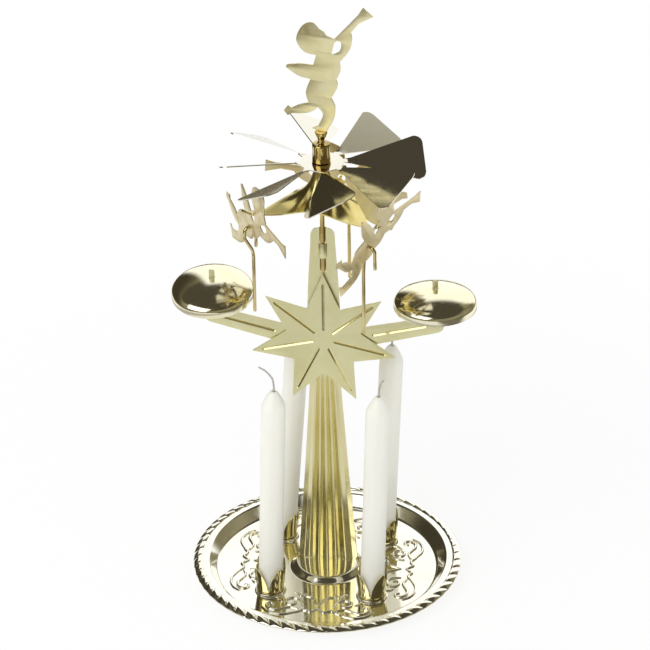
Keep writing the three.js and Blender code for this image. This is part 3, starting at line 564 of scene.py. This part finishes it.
def ornament():
    """Raised scroll lines on the tray's floor, one mirrored group between each two candles."""
    lift, least = 0.08, 0.35
    parts = []
    for quarter in range(4):
        turn = math.radians(-90 + 90 * quarter)
        cos, sin = math.cos(turn), math.sin(turn)
        for half, line in SCROLLS:
            for side in (-1, 1):
                path = spline([(u * side, v) for u, v in line], 7)
                points = [(v * cos - u * sin, v * sin + u * cos, FLOOR + lift) for u, v in path]
                shares = [0.08 + 0.84 * k / (len(path) - 1) for k in range(len(path))]
                taper = [half * (least + 0.65 * math.sin(math.pi * s) ** 0.5) for s in shares]
                parts.append(tube(points, taper, 12, (0, 0, 1), flat=0.9))
    return parts


add("tray_dish", [tray_dish()] + pads(), TRAY, ["tray"], "polished_brass", sharp=50)
add("tray_scrolls", ornament(), TRAY, ["tray"], "polished_brass", sharp=60)


# Cups and candles

def petal(turn):
    """A leaf of a cup: a bulging sheet that leans out and narrows to its tip."""
    rows, columns = 14, 12
    outer, thick, foot, height = 6.45, 0.4, 2.3, 14.2
    gap, tip, lean, bulge = 0.7, 0.35, 2, 0.28
    full = math.pi / 2 - gap / outer
    rings = []
    for i in range(rows + 1):
        s = i / rows
        angle = max(full * math.cos(s * math.pi / 2) ** 0.72, tip / outer)
        radius = outer + (lean * s * s + bulge * math.sin(math.pi * s))
        angles = [turn + angle * (k / columns - 0.5) for k in range(columns + 1)]
        rings.append([arc(r, angles, foot + height * s) for r in (radius, radius - thick)])
    return sheet(rings)


def cup(name):
    x, y = place_point(name)
    line = fillet([(1.5, 1.9), (6.25, 1.9), (6.75, 2.5), (6.5, 3.2), (6.5, 4.4), (6.05, 4.4), (6.05, 2.3),
                   (1.5, 2.3)], 0.25, 3, closed=True)
    parts = [lathe(line, 64, closed=True)] + [petal(TAU * (k + 0.5) / 4) for k in range(4)]
    add(f"cup_leaves_{name}", parts, CUP, [f"cup_{name}"], "polished_brass", shift(x, y, 0))


def candle(name):
    """A candle with a rounded top, and the wick in the hollow at its tip."""
    _, lean, wick, reach = PLACES[name]
    x, y = place_point(name)
    foot, radius, shoulder, tip = 3.2, 5.75, 99.4, 108.4
    holder = shift(x, y, foot) @ turned(lean, "Y")
    line = [(0, 0)] + fillet([(0, 0), (radius, 0), (radius, shoulder)], 0.7, 4)[1:-1]
    line += [(radius, z) for z in np.linspace(8, shoulder - 2, 12)]
    line += spline([(radius, shoulder - 1), (5.62, shoulder + 0.8), (5.1, shoulder + 2.6),
                    (4.1, shoulder + 4.8), (3.0, shoulder + 6.9), (1.9, shoulder + 8.5)], 5)
    line += [(1.45, tip - 0.08), (1.0, tip), (0.85, tip - 0.3), (0.85, tip - 2.8), (0, tip - 2.8)]
    add(f"candle_stick_{name}", [lathe(line, 64)], WAX, [f"candle_{name}"], "white_wax", holder,
        sharp=40)
    path = spline([(0, 0, tip - 2.6), (0, 0, tip), (0, 0, tip + wick * 0.2),
                   (reach * 0.12, 0, tip + wick * 0.55), (reach * 0.55, 0, tip + wick * 0.85),
                   (reach, 0, tip + wick)], 8)
    radii = [0.5 + 0.06 * math.sin(k * 1.9) - 0.12 * k / len(path) for k in range(len(path))]
    thread = tube(path, radii, 10, (0, 1, 0))
    add(f"wick_thread_{name}", [thread], WICK, [f"wick_{name}"], "cotton", holder, sharp=60)


for place_name in PLACES:
    cup(place_name)
    candle(place_name)
    give(frame["nodes"][f"rivet_{place_name}"].data, CUP)


# Stem and spindle

STEM_FOOT, STEM_HEIGHT, STEM_HALF, FOLD_DEPTH, STEM_SHEET = 3.5, 181.8, 14.4, 4, 0.6

# Shares of the height, of the half width there and of the folds' depth there
STEM_ROWS = [(0, 1, 1), (0.25, 0.757, 0.85), (0.4, 0.63, 0.7), (0.53, 0.525, 0.5), (0.565, 0.503, 0.3),
             (0.6, 0.503, 0), (0.75, 0.531, 0), (0.82, 0.503, 0), (0.965, 0.395, 0)]

# The folds from the middle to an edge: shares of the half width and of the depth
FLUTES = [(0, 0), (0.16, 0.8), (0.3, 0.2), (0.42, 1), (0.62, 0.45), (0.8, 0.95), (1, 0.9)]

# By strap around the spindle: the angle where it starts, and its lower and upper height
STRAPS = [(0, 162.6, 170.2), (math.pi, 170.2, 177.6), (0, 177.6, 185.3)]
STRAP_INNER, STRAP_OUTER = 1.45, 2.05
TONGUE_FROM = 116  # the height above which the stem has the tongue's brass


def stem_sheet():
    """The fluted stem, a sheet that follows its folds and has rounded upper corners."""
    crown_from, crown, corner, pull = 0.965, 0.035, 4.2, 0.78
    shares = np.linspace(-1, 1, 161)
    fold_x, fold_y = np.array(FLUTES, float).T
    folds = sum(np.interp(np.abs(np.abs(shares) + d), fold_x, fold_y) for d in (-0.018, 0, 0.018)) / 3
    crown_heights = 1 - crown * (1 - np.sin(np.linspace(0.08, 1, 9) * math.pi / 2))
    heights = np.concatenate([np.linspace(0, crown_from, 60), crown_heights])
    widths = monotone([(h, w) for h, w, _ in STEM_ROWS], np.minimum(heights, crown_from))
    depths = monotone([(h, d) for h, _, d in STEM_ROWS], np.minimum(heights, crown_from))
    rows = []
    for h, width, depth in zip(heights, widths, depths):
        z = STEM_FOOT + STEM_HEIGHT * h
        over = max(0.0, z - (STEM_FOOT + STEM_HEIGHT - corner)) / corner
        half = STEM_HALF * width - corner * (1 - math.sqrt(max(0.0, 1 - over * over))) * pull
        xs = shares * half
        ys = folds * FOLD_DEPTH * max(depth, 0)
        slopes = np.gradient(ys, xs)
        lengths = np.sqrt(1 + slopes * slopes)
        rows.append([[(x + out * s / n, y - out / n, z) for x, y, s, n in zip(xs, ys, slopes, lengths)]
                     for out in (STEM_SHEET / 2, -STEM_SHEET / 2)])
    return sheet(rows)


def strap(start, low, high):
    """Half a ring around the spindle, its outer edges eased."""
    angles = np.linspace(start, start + math.pi, 15)
    rows = []
    for z in (low, low + 0.2, high - 0.2, high):
        ease = 0.12 if z in (low, high) else 0
        rows.append([arc(r, angles, z) for r in (STRAP_OUTER - ease, STRAP_INNER)])
    return sheet(rows)


def foot_tabs():
    """Two tabs that go down through the tray's plateau and turn back under it."""
    half_width, half_sheet = 2, STEM_SHEET / 2
    across, deep = FLUTES[4]
    y = deep * FOLD_DEPTH
    parts = []
    for side in (-1, 1):
        middle = side * across * STEM_HALF
        low = (middle - half_width, y - half_sheet, 1.9)
        parts.append(block(low, (middle + half_width, y + half_sheet, 3.8)))
        parts.append(block(low, (middle + half_width, y + 4.8, 2.5)))
    return parts


def make_stem():
    """The stem, open where the spindle passes, with its straps and tabs."""
    low, high = 162.3, 186.3
    slot = [(0, low), (STRAP_INNER, low), (STRAP_INNER, high), (0, high)]
    stem = loose([stem_sheet()], "stem_fluted")
    cut(stem, loose([lathe(slot, 48)]))
    rest = loose([strap(*values) for values in STRAPS] + foot_tabs())
    whole = bmesh.new()
    for part in (stem.data, rest.data):
        whole.from_mesh(part)
    whole.to_mesh(stem.data)
    whole.free()
    bpy.data.objects.remove(rest)
    clean(stem.data, sharp=48)
    dress(stem, STEM, ["stem"], "brushed_brass", TONGUE)
    for face in stem.data.polygons:
        if face.center.z > TONGUE_FROM * MM:
            face.material_index = 1


make_stem()
spindle_line = fillet([(0, 162.6), (1.15, 162.6), (1.15, 217.2), (0.15, 221.7), (0, 221.7)], 0.35, 4)
add("spindle_rod", [lathe(spindle_line, 32)], SPINDLE, ["spindle"], "wire_brass")


# Crossbar and star, both drawn in X and Y and then stood up

SHEET = 0.5
ARM_FRONT, STAR_FRONT = -1.1, -1.9  # y of each plate's front face
BELL_PLACE, ARM_ROOT, ARM_END = 52.2, 125, 137.8
STAR_CENTRE, STAR_TIP, STAR_WAIST = 127.5, 34.9, 17.9


def stand(obj, front):
    obj.data.transform(shift(0, front + SHEET / 2, 0) @ turned(90, "X"))


def channel(start, end, front):
    """A bar with an edge forward, to cut a V groove with tapered ends into a standing plate."""
    radius, depth, flat, tuck, least = 0.98, 0.4, 0.57, 0.98, 0.05
    start, end = np.array(start, float), np.array(end, float)
    along = (end - start) / np.linalg.norm(end - start)
    points, radii = [], []
    for centre, shares in ((start + along * radius, np.linspace(-1, 0, 7)[1:]),
                           (end - along * radius, np.linspace(0, 1, 7)[:-1])):
        for t in shares:
            points.append(centre + along * radius * math.sin(t * math.pi / 2) * tuck)
            radii.append(max(radius * math.cos(t * math.pi / 2), least))
    y = front - radius * flat + depth
    return tube([(p[0], y, p[1]) for p in points], radii, 4, (0, 1, 0), flat=flat, ends=False)


def crossbar_outline():
    """Two rising arms, each with a round end and a post that narrows to a peg."""
    root_half, end_half, post, peg, tip = 5.6, 4.3, 2.6, 1.3, 0.8  # half heights and half widths
    post_top, bevel_from, peg_top = 156.1, 160.6, 161.2

    def top(x):
        return ARM_ROOT + root_half + (ARM_END + end_half - ARM_ROOT - root_half) * x / BELL_PLACE

    right = [(0, top(0)), (BELL_PLACE - post, top(BELL_PLACE - post))]
    right += [(BELL_PLACE + x, y) for x, y in (
        (-post, post_top), (-peg, post_top), (-peg, bevel_from), (-tip, peg_top),
        (tip, peg_top), (peg, bevel_from), (peg, post_top), (post, post_top))]
    first = math.atan2(math.sqrt(end_half ** 2 - post ** 2), post)
    last = math.atan((ARM_END - ARM_ROOT) / BELL_PLACE) - math.pi / 2
    for t in np.linspace(0, 1, 16):
        a = first + (last - first) * t
        right.append((BELL_PLACE + end_half * math.cos(a), ARM_END + end_half * math.sin(a)))
    right.append((0, ARM_ROOT - root_half))
    return right + [(-x, y) for x, y in reversed(right[1:-1])]


def make_crossbar():
    bar = plate("arms_bar", [crossbar_outline()], SHEET)
    stand(bar, ARM_FRONT)
    rise = (ARM_END - ARM_ROOT) / BELL_PLACE
    grooves = []
    for side in (-1, 1):
        start, end = [(side * s * BELL_PLACE, ARM_ROOT + rise * s * BELL_PLACE) for s in (0.43, 0.93)]
        grooves.append(channel(start, end, ARM_FRONT))
    cut(bar, loose(grooves), inside=(TONGUE, GROOVE))
    dress(bar, TONGUE, ["crossbar"], "brushed_brass", GROOVE)


def star_point(reach, fourteenths):
    angle = math.pi / 2 + fourteenths * math.pi / 7
    return reach * math.cos(angle), STAR_CENTRE + reach * math.sin(angle)


def make_star():
    """The seven-pointed star with a groove along each point, and the two tabs on its back."""
    corner = 0.35
    points = [np.array(star_point(STAR_WAIST if k % 2 else STAR_TIP, k)) for k in range(14)]
    outline = []
    for k, p in enumerate(points):
        for other in (points[k - 1], points[(k + 1) % 14]):
            outline.append(tuple(p + (other - p) / np.linalg.norm(other - p) * corner))
    star = plate("star_plate", [outline], SHEET)
    stand(star, STAR_FRONT)
    grooves = []
    for k in range(7):
        start, end = (star_point(s * STAR_TIP, 2 * k) for s in (0.13, 0.86))
        grooves.append(channel(start, end, STAR_FRONT))
    cut(star, loose(grooves), inside=(TONGUE, GROOVE))
    dress(star, TONGUE, ["star"], "brushed_brass", GROOVE)
    tabs = []
    low_z, high_z, back, half = 125.5, 129.5, 1.1, SHEET / 2
    for side in (-1, 1):
        middle = side * 3.5
        low, high = sorted((middle - side * half, middle + side * 3.2))
        tabs.append(block((middle - half, STAR_FRONT + 0.3, low_z), (middle + half, back, high_z)))
        tabs.append(block((low, back - SHEET, low_z), (high, back, high_z)))
    add("star_tabs", tabs, TONGUE, ["star"], "brushed_brass")


make_crossbar()
make_star()


# Bells

def bell_line(shrink):
    """The profile of a bell, down from its hole: a flat dome, a round shoulder and a short wall."""
    dome, crown, wall, rim, hole = 38 - shrink, -shrink, 19.3 - shrink, -9.6, 1.7
    radii = np.linspace(hole, 14.5 - shrink / 2, 14)
    points = [(r, crown - dome + math.sqrt(dome * dome - r * r)) for r in radii]
    start_r, start_z = points[-1]
    height = -rim * 0.72 + start_z
    shares = [(0, 0), (0.38, 0.21), (0.7, 0.45), (0.92, 0.74), (1, 1)]
    points += spline([(start_r + (wall - start_r) * a, start_z - height * b) for a, b in shares], 6)[1:]
    return points + [(wall, -9.0), (wall, rim)]


def bell(name, side, tilt, node):
    profile = bell_line(0) + [(19.0, -9.75)] + bell_line(0.6)[::-1]
    place = shift(side * BELL_PLACE, -0.85, 157) @ turned(tilt, "X")
    add(name, [lathe(profile, 128, closed=True)], BELL, [node], "polished_brass", place, sharp=50)


bell("bell_cup_left", -1, 8, "bell_left")
bell("bell_cup_right", 1, 0, "bell_right")


# Rotor, hanger and hub

VANE_LEVEL, CANOPY_LEVEL = 219, 196.45  # heights
NECK, NECK_TO_TIP, NECK_HEIGHT = 2.8, 27.7, 22.2
BACK_ARM = 81
ARMS = (201, 321, BACK_ARM)  # azimuths of the canopy's arms, in degrees
TOP_TURN = -16.4  # the turn of the top angel and its slot

# The canopy's slope: shares of the way out from the neck and of its height
TRUMPET = [(0.03, 0.84), (0.065, 0.7), (0.14, 0.5), (0.26, 0.33), (0.44, 0.18), (0.69, 0.072), (1, 0)]

# A hook: its reach from the axis, its rise over the canopy's edge and its half width
HOOK = [(27, 0, 0.6), (30, 0, 0.6), (32.4, 0, 0.6), (33.0, 0.06, 0.6), (33.7, 0.4, 0.62), (34.6, 0.98, 0.68),
        (35.6, 1.63, 0.85), (36.4, 2.15, 1.1), (37.0, 2.54, 1.2), (37.4, 2.8, 0.95), (37.53, 2.9, 0.45)]


def vane(azimuth):
    """A blade: a neck that twists, a part that widens and a rounded end."""
    twist, neck_half, end_half, corner, half_sheet = 25, 1.5, 12.6, 4, 0.25
    shares = np.linspace(0, 1, 9)
    # By station: the reach from the axis, the half width and the twist in degrees
    stations = [(9.9 + 3.3 * t, neck_half, twist * t * t * (3 - 2 * t)) for t in shares]
    stations += [(13.2 + 29.8 * t, neck_half + 11.1 * t, twist) for t in shares[1:]]
    stations += [(43 + corner * t, end_half - corner * (1 - math.sqrt(max(0, 1 - t * t))), twist)
                 for t in np.linspace(0, 1, 10)[1:]]
    along = np.array((math.cos(azimuth), math.sin(azimuth), 0))
    around = np.array((-math.sin(azimuth), math.cos(azimuth), 0))
    rows = []
    for reach, half, degrees in stations:
        lean = math.radians(degrees)
        chord = around * math.cos(lean) + np.array((0, 0, math.sin(lean)))
        up = (-around * math.sin(lean) + np.array((0, 0, math.cos(lean)))) * half_sheet
        middle = along * reach + np.array((0, 0, VANE_LEVEL))
        across = [middle + chord * half * s for s in np.linspace(-1, 1, 7)]
        rows.append([[p + up for p in across], [p - up for p in across]])
    return sheet(rows)


def trumpet_height(radius):
    share = (np.asarray(radius, float) - NECK) / NECK_TO_TIP
    return CANOPY_LEVEL + NECK_HEIGHT * monotone(TRUMPET, share)


def canopy():
    """The tube and the canopy that spreads from it into three arms, down outside and up inside."""
    waist, arm, power, sector, sheet_height = 14.8, 15.7, 2.65, TAU / 3, 0.6
    angles = [math.radians(BACK_ARM) + a for a in turns(180)]
    throat = NECK + 0.03 * NECK_TO_TIP
    throat_z = float(trumpet_height(throat))

    def edge(angle):
        turn = angle - math.radians(BACK_ARM)
        off = abs(turn - round(turn / sector) * sector)
        return waist + arm * (1 - off / (sector / 2)) ** power

    def skirt(share, drop):
        row = []
        for a in angles:
            r = throat + (edge(a) - throat) * share
            inner = r - (1 - share) * drop
            row.append((inner * math.cos(a), inner * math.sin(a), float(trumpet_height(r)) - drop))
        return row

    collar = [(2.7, 224), (NECK, 223.9), (NECK, 219.3), (NECK, 218.65), (3.75, 218.65), (3.9, 218.5)]
    collar += [(3.9 + (throat - 3.9) * t, 218.5 + (throat_z - 218.5) * t) for t in np.linspace(0.15, 1, 5)]
    bore = [(2.6, throat_z - sheet_height), (2.2, 218.05), (2.2, 224)]
    shares = [0.012, 0.03, 0.055, 0.085, 0.12, 0.17, 0.23, 0.3, 0.4, 0.5, 0.6, 0.7, 0.8, 0.9, 0.97, 1]
    rows = [arc(r, angles, z) for r, z in collar]
    rows += [skirt(share, 0) for share in shares]
    rows += [skirt(share, sheet_height) for share in reversed(shares)]
    return rings_mesh(rows + [arc(r, angles, z) for r, z in bore])


def hook(azimuth):
    """A strip that goes on from an arm of the canopy and rises to a rounded tip."""
    half_sheet = 0.25
    cos, sin = math.cos(azimuth), math.sin(azimuth)
    rows = []
    for k, (r, z, half) in enumerate(HOOK):
        a, b = np.array(HOOK[max(k - 1, 0)][:2]), np.array(HOOK[min(k + 1, len(HOOK) - 1)][:2])
        direction = (b - a) / np.linalg.norm(b - a)
        up = np.array((-direction[1], direction[0])) * half_sheet
        faces = [(r + up[0] * lift, CANOPY_LEVEL + z + up[1] * lift) for lift in (1, -1)]
        rows.append([[(rr * cos - half * s * sin, rr * sin + half * s * cos, zz)
                      for s in np.linspace(-1, 1, 5)] for rr, zz in faces])
    return sheet(rows)


def make_hub():
    """The hub's cap with the slot that the top angel stands in."""
    line = fillet([(3.1, 219.35), (4.25, 219.35), (4.02, 223.9), (4.25, 227.9), (3.85, 228.5), (1.7, 228.9),
                   (1.5, 229.3), (1.5, 230.6), (2.3, 232.1), (3.0, 234.4), (2.2, 234.4), (0, 234.3)], 0.5, 4)
    hub = loose([lathe(line + [(0, 227.9), (3.1, 227.9), (3.1, 219.35)], 64)], "hub_cap")
    slot_box = loose([block((-4, -0.55, 230.6), (4, 0.55, 235.4))])
    slot_box.data.transform(turned(TOP_TURN, "Z"))
    cut(hub, slot_box)
    dress(hub, HUB, ["hub"], "polished_brass")


disc_line = fillet([(3.1, 218.75), (10.2, 218.75), (10.2, 219.25), (3.1, 219.25)], 0.1, 2, closed=True)
add("rotor_vanes", [lathe(disc_line, 96, closed=True)] + [vane(math.radians(12 + 45 * k)) for k in range(8)],
    ROTOR, ["rotor"], "polished_brass", sharp=24)
add("hanger_canopy", [canopy()] + [hook(math.radians(a)) for a in ARMS], HANGER, ["hanger"],
    "polished_brass", sharp=38)
make_hub()
give(frame["nodes"]["bearing"].data, SPINDLE)


# Angels and clappers

WIDE, TALL = 63, 60.5

# The outline's strokes, in shares of the width and the height
STROKES = [
    ("line", [(0.303, 1.017), (0.341, 1.083), (0.419, 1.023), (0.31, 0.953), (0.246, 0.868)]),
    ("curve", [(0.256, 0.812), (0.232, 0.72), (0.158, 0.615)]),
    ("curve", [(0.163, 0.547), (0.131, 0.468)]),
    ("curve", [(0.14, 0.415), (0.091, 0.315)]),
    ("curve", [(0.121, 0.242), (0.107, 0.145), (0.056, 0.041)]),
    ("line", [(0.039, 0.008), (-0.063, 0.041), (-0.014, 0.069)]),
    ("curve", [(0.025, 0.168), (-0.014, 0.221)]),
    ("curve", [(-0.049, 0.188), (-0.106, 0.157), (-0.218, 0.135)]),
    ("line", [(-0.253, 0.112), (-0.283, 0.147), (-0.25, 0.194), (-0.222, 0.178)]),
    ("curve", [(-0.155, 0.221), (-0.088, 0.246)]),
    ("curve", [(-0.107, 0.33), (-0.07, 0.441)]),
    ("curve", [(-0.162, 0.452), (-0.259, 0.503)]),
    ("curve", [(-0.246, 0.529), (-0.155, 0.553), (-0.046, 0.56)]),
    ("line", [(-0.023, 0.642)]),
    ("curve", [(-0.12, 0.658), (-0.175, 0.744), (-0.1314, 0.8568), (-0.0534, 0.9018), (0, 0.859)]),
    ("line", [(0.039, 0.838), (0.056, 0.815), (0.12, 0.797)]),
]
ARM_HOLE = [(0.12, 0.765), (0.15, 0.785), (0.173, 0.766), (0.158, 0.705), (0.1, 0.672), (0.107, 0.715)]
HOOK_HOLE, WIRE_HOLE = (0.008 * WIDE, 0.575 * TALL), (0.055 * WIDE, 0.447 * TALL)
HOOK_HOLE_RADIUS, WIRE_HOLE_RADIUS = 1.9, 1.2
HOLE_DROP = 1.05  # from a hook's middle down to that of the hole on it
CLAPPER_END = 144.5  # height
CLAPPER_BEND, CLAPPER_RADIUS = 2.8, 0.8

# By angel: the hook's azimuth; the figure's pitch, yaw and roll on it; how far up the hook it sits;
# the side where its clapper's long leg comes down, and where across that leg then hangs
HANGING = {"left": (201, -52, 10, 0, 0, -1, 1.4), "right": (321, -49, 13, 8, 2.8, 1, 3.4),
           "back": (81, -48, 0, 0, 0, 1, 1.4)}


def angel_outline():
    out = [STROKES[-1][1][-1]]
    for kind, points in STROKES:
        if kind == "line":
            out.extend(points)
        else:
            out.extend(tuple(p) for p in spline([out[-1]] + points, 9)[1:])
    return [(x * WIDE, y * TALL) for x, y in out[1:]]


def angel_plate(name, holes):
    arm = [(x * WIDE, y * TALL) for x, y in spline(ARM_HOLE, 6, cyclic=True)]
    return plate(name, [angel_outline(), arm] + [circle(c, r) for c, r in holes], SHEET, 0.06)


def make_top_angel():
    """The angel that stands on the hub by a tab under its foot."""
    obj = angel_plate("angel_figure_top", [])
    foot, foot_level = 0.006 * WIDE, 232.9
    cut(obj, loose([block((foot - 1.4, -1.9, -0.25), (foot + 1.4, 0.06 * TALL, 0.25))]), "UNION")
    obj.data.transform(shift(-foot, 0, 0))
    obj.data.transform(shift(0, 0, foot_level) @ turned(TOP_TURN, "Z") @ turned(90, "X"))
    dress(obj, ANGEL_TOP, ["angel_top"], "satin_brass")


def make_hanging_angel(name):
    """An angel on its hook, and the clapper wire in the angel's lower hole."""
    azimuth, pitch, yaw, roll, slide, side, inset = HANGING[name]
    slope = math.radians(33) if slide else 0
    radius = (33 if slide else 32.4) + slide * math.cos(slope)
    height = CANOPY_LEVEL + slide * math.sin(slope)
    turn = math.radians(azimuth)
    heading = turned(azimuth + yaw + 90, "Z")
    holder = shift(radius * math.cos(turn), radius * math.sin(turn), height) @ heading @ turned(roll, "X")
    lean = turned(pitch, "Z")
    obj = angel_plate(f"angel_figure_{name}", [(HOOK_HOLE, HOOK_HOLE_RADIUS), (WIRE_HOLE, WIRE_HOLE_RADIUS)])
    obj.data.transform(shift(-HOOK_HOLE[0], -HOOK_HOLE[1], 0))
    obj.data.transform(holder @ turned(90, "X") @ shift(0, -HOLE_DROP, 0) @ lean)
    dress(obj, ANGEL_SHADED, [f"angel_{name}"], "satin_brass")

    offset = lean @ Vector((WIRE_HOLE[0] - HOOK_HOLE[0], WIRE_HOLE[1] - HOOK_HOLE[1], 0))
    hinge = holder @ (Vector((offset.x, 0, offset.y - HOLE_DROP)) * MM)
    length = hinge.z / MM - CLAPPER_END
    near, far = -side * CLAPPER_BEND, side * CLAPPER_BEND
    path = [(0, near, -10.3), (0, near, -6)]
    bend = np.linspace(0, math.pi, 15)
    path += [(0, near * math.cos(t), CLAPPER_BEND * math.sin(t) - CLAPPER_BEND) for t in bend]
    leg = [(0, far, -CLAPPER_BEND), (0, far, -5.5), (0, inset, -13), (0, inset, -length)]
    path += fillet(leg, 2.4, 7)[1:]
    wire = tube(path, [CLAPPER_RADIUS] * len(path), 18, (1, 0, 0))
    add(f"clapper_wire_{name}", [wire], WIRE, [f"clapper_{name}"], "wire_brass",
        Matrix.Translation(hinge) @ heading, sharp=60)


make_top_angel()
for angel_name in HANGING:
    make_hanging_angel(angel_name)


# Camera, light and floor, in metres

def make_camera():
    azimuth, elevation, roll = (math.radians(a) for a in (7.6, 29, -0.85))
    focal, picture = 3240, 650  # pixels
    aim, distance = Vector((0.0005, 0, 0.1343)), 1.513
    back = Vector((math.sin(azimuth) * math.cos(elevation), -math.cos(azimuth) * math.cos(elevation),
                   math.sin(elevation)))
    right = Vector((math.cos(azimuth), math.sin(azimuth), 0))
    up = back.cross(right)
    tilted = right * math.cos(roll) + up * math.sin(roll)
    upward = -right * math.sin(roll) + up * math.cos(roll)
    data = bpy.data.cameras.new("camera")
    data.sensor_width = 36
    data.lens = data.sensor_width * focal / picture
    data.clip_start, data.clip_end = 0.05, 50
    camera = new_object("camera", data)
    camera.matrix_world = Matrix((*zip(tilted, upward, back, aim + back * distance), (0, 0, 0, 1)))
    scene.camera = camera


def soft_box(name, direction, distance, size, power):
    """An area light that faces the object's middle."""
    data = bpy.data.lights.new(name, "AREA")
    data.shape = "RECTANGLE"
    data.size, data.size_y = size
    data.energy = power
    lamp = new_object(name, data)
    out = Vector(direction).normalized()
    lamp.location = Vector((0, 0, 0.13)) + out * distance
    lamp.rotation_euler = out.to_track_quat("Z", "Y").to_euler()


def quad(name, corners):
    mesh = bpy.data.meshes.new(name)
    mesh.from_pydata(corners, [], [(0, 1, 2, 3)])
    return new_object(name, mesh)


def make_world():
    """White surroundings; metal mirrors a bright window behind, olive sides and a dark ceiling."""
    world = bpy.data.worlds.new("studio")
    scene.world = world
    tree = Tree(world)
    tree.nodes.clear()
    out = tree.add("ShaderNodeOutputWorld")
    path = tree.add("ShaderNodeLightPath").outputs
    place = tree.add("ShaderNodeTexCoord").outputs["Generated"]

    def mask(direction, low, high):
        """Rises from 0 to 1 as the ray's part along a direction goes from low to high."""
        along = tree.add("ShaderNodeVectorMath", operation="DOT_PRODUCT")
        along.inputs[1].default_value = direction
        tree.link(place, along.inputs[0])
        return tree.smooth(along.outputs["Value"], low, high)

    below = mask((0, 0.15, -1), -0.685, -0.615)
    window = tree.join("MULTIPLY", mask((0.921, 0.391, 0), -0.06, 0.05), mask((-0.79, 0.61, 0), -0.12, 0.08))
    opening = tree.join("MULTIPLY", window, mask((-0.25, 0.968, 0), 0.465, 0.585))
    cloud = tree.add("ShaderNodeTexNoise", Scale=2.2)
    tree.link(place, cloud.inputs["Vector"])
    sides = tree.between(cloud.outputs["Fac"], (0.05, 0.038, 0.018, 1), (0.40, 0.37, 0.24, 1))
    left = tree.between(mask((-0.8, 0.6, 0), 0.5, 0.85), sides, (0.045, 0.038, 0.022, 1))
    walls = tree.between(below, (0.062, 0.054, 0.038, 1), left)
    surround = tree.between(opening, walls, (1.13, 1.13, 1.13, 1))
    seen = tree.add("ShaderNodeBackground", Color=(1, 1, 1, 1), Strength=1.0)
    mirrored = tree.add("ShaderNodeBackground")
    tree.link(surround, mirrored.inputs["Color"])
    lighting = tree.add("ShaderNodeBackground", Strength=0.88)
    reflected = tree.mixed(path["Is Glossy Ray"], lighting, mirrored)
    straight = tree.join("MAXIMUM", path["Is Camera Ray"], path["Is Transmission Ray"])
    tree.link(tree.mixed(straight, reflected, seen).outputs[0], out.inputs["Surface"])


def make_floor():
    """A pale floor that keeps the shadow and fades into white.

    Metal mirrors it as a white sweep, dark beyond its edges and dimmer in a ring that the bells mirror.
    """
    half = 6.0
    floor = quad("floor", [(-half, -half, 0), (half, -half, 0), (half, half, 0), (-half, half, 0)])
    tree = Tree(bpy.data.materials.new("floor_white"))
    tree.nodes.clear()
    smooth, join = tree.smooth, tree.join
    out = tree.add("ShaderNodeOutputMaterial")
    path = tree.add("ShaderNodeLightPath").outputs
    place = tree.add("ShaderNodeTexCoord").outputs["Object"]
    length = tree.add("ShaderNodeVectorMath", operation="LENGTH")
    tree.link(place, length.inputs[0])
    radius = length.outputs["Value"]
    axes = tree.add("ShaderNodeSeparateXYZ")
    tree.link(place, axes.inputs[0])
    x, y = axes.outputs["X"], axes.outputs["Y"]

    both = tree.add("ShaderNodeAddShader")
    tree.link(tree.add("ShaderNodeBsdfDiffuse", Color=(0.25, 0.25, 0.25, 1)).outputs[0], both.inputs[0])
    tree.link(tree.add("ShaderNodeEmission", Strength=0.78).outputs[0], both.inputs[1])
    seen = tree.mixed(smooth(radius, 0.09, 0.45), both, tree.add("ShaderNodeEmission", Strength=1.0))
    plain = tree.add("ShaderNodeBsdfDiffuse", Color=(0.8, 0.8, 0.8, 1))
    unlit = tree.mixed(path["Is Diffuse Ray"], seen, plain)

    bright = smooth(y, -0.06, 0.1, 0.8, 1.0)
    front_right = join("MAXIMUM", smooth(x, 0.12, 0.26, 1.0, 0.08), smooth(y, -0.12, 0.02))
    ring = join("MAXIMUM", smooth(radius, 0.225, 0.25, 1.0, 0.45), smooth(radius, 0.31, 0.335, 0.45, 1.0))
    for edge in (smooth(x, -0.55, -0.42), smooth(x, 0.5, 0.65, 1.0, 0.08), smooth(y, -1.4, -1.1, 0.08),
                 smooth(y, 0.98, 1.15, 1.0, 0.08), front_right, ring):
        bright = join("MULTIPLY", bright, edge)
    sweep = tree.add("ShaderNodeEmission")
    tree.link(tree.between(bright, (0.10, 0.085, 0.05, 1), (1, 1, 1, 1)), sweep.inputs["Color"])
    tree.link(tree.mixed(path["Is Glossy Ray"], unlit, sweep).outputs[0], out.inputs["Surface"])
    give(floor.data, tree.owner)


def dark_card(name, centre, size, colour):
    """A dark studio card that only shows in polished metal."""
    across, up = size[0] / 2, size[1] / 2
    card = quad(name, [(-across, 0, -up), (across, 0, -up), (across, 0, up), (-across, 0, up)])
    card.location = centre
    card.visible_camera = card.visible_diffuse = card.visible_shadow = card.visible_transmission = False
    paint = Paint(name)
    paint.shader.inputs["Base Color"].default_value = (*colour, 1)
    give(card.data, paint.owner)


make_camera()
make_world()
dark_card("card_behind_low", centre=(-0.31, 0.9, 0.07), size=(0.34, 0.14), colour=(0.17, 0.14, 0.08))
make_floor()
soft_box("key_box", direction=(-0.52, -0.7, 0.58), distance=1.5, size=(1.3, 1.1), power=7.5)
scene.view_settings.view_transform = "Standard"

bpy.context.view_layer.update()
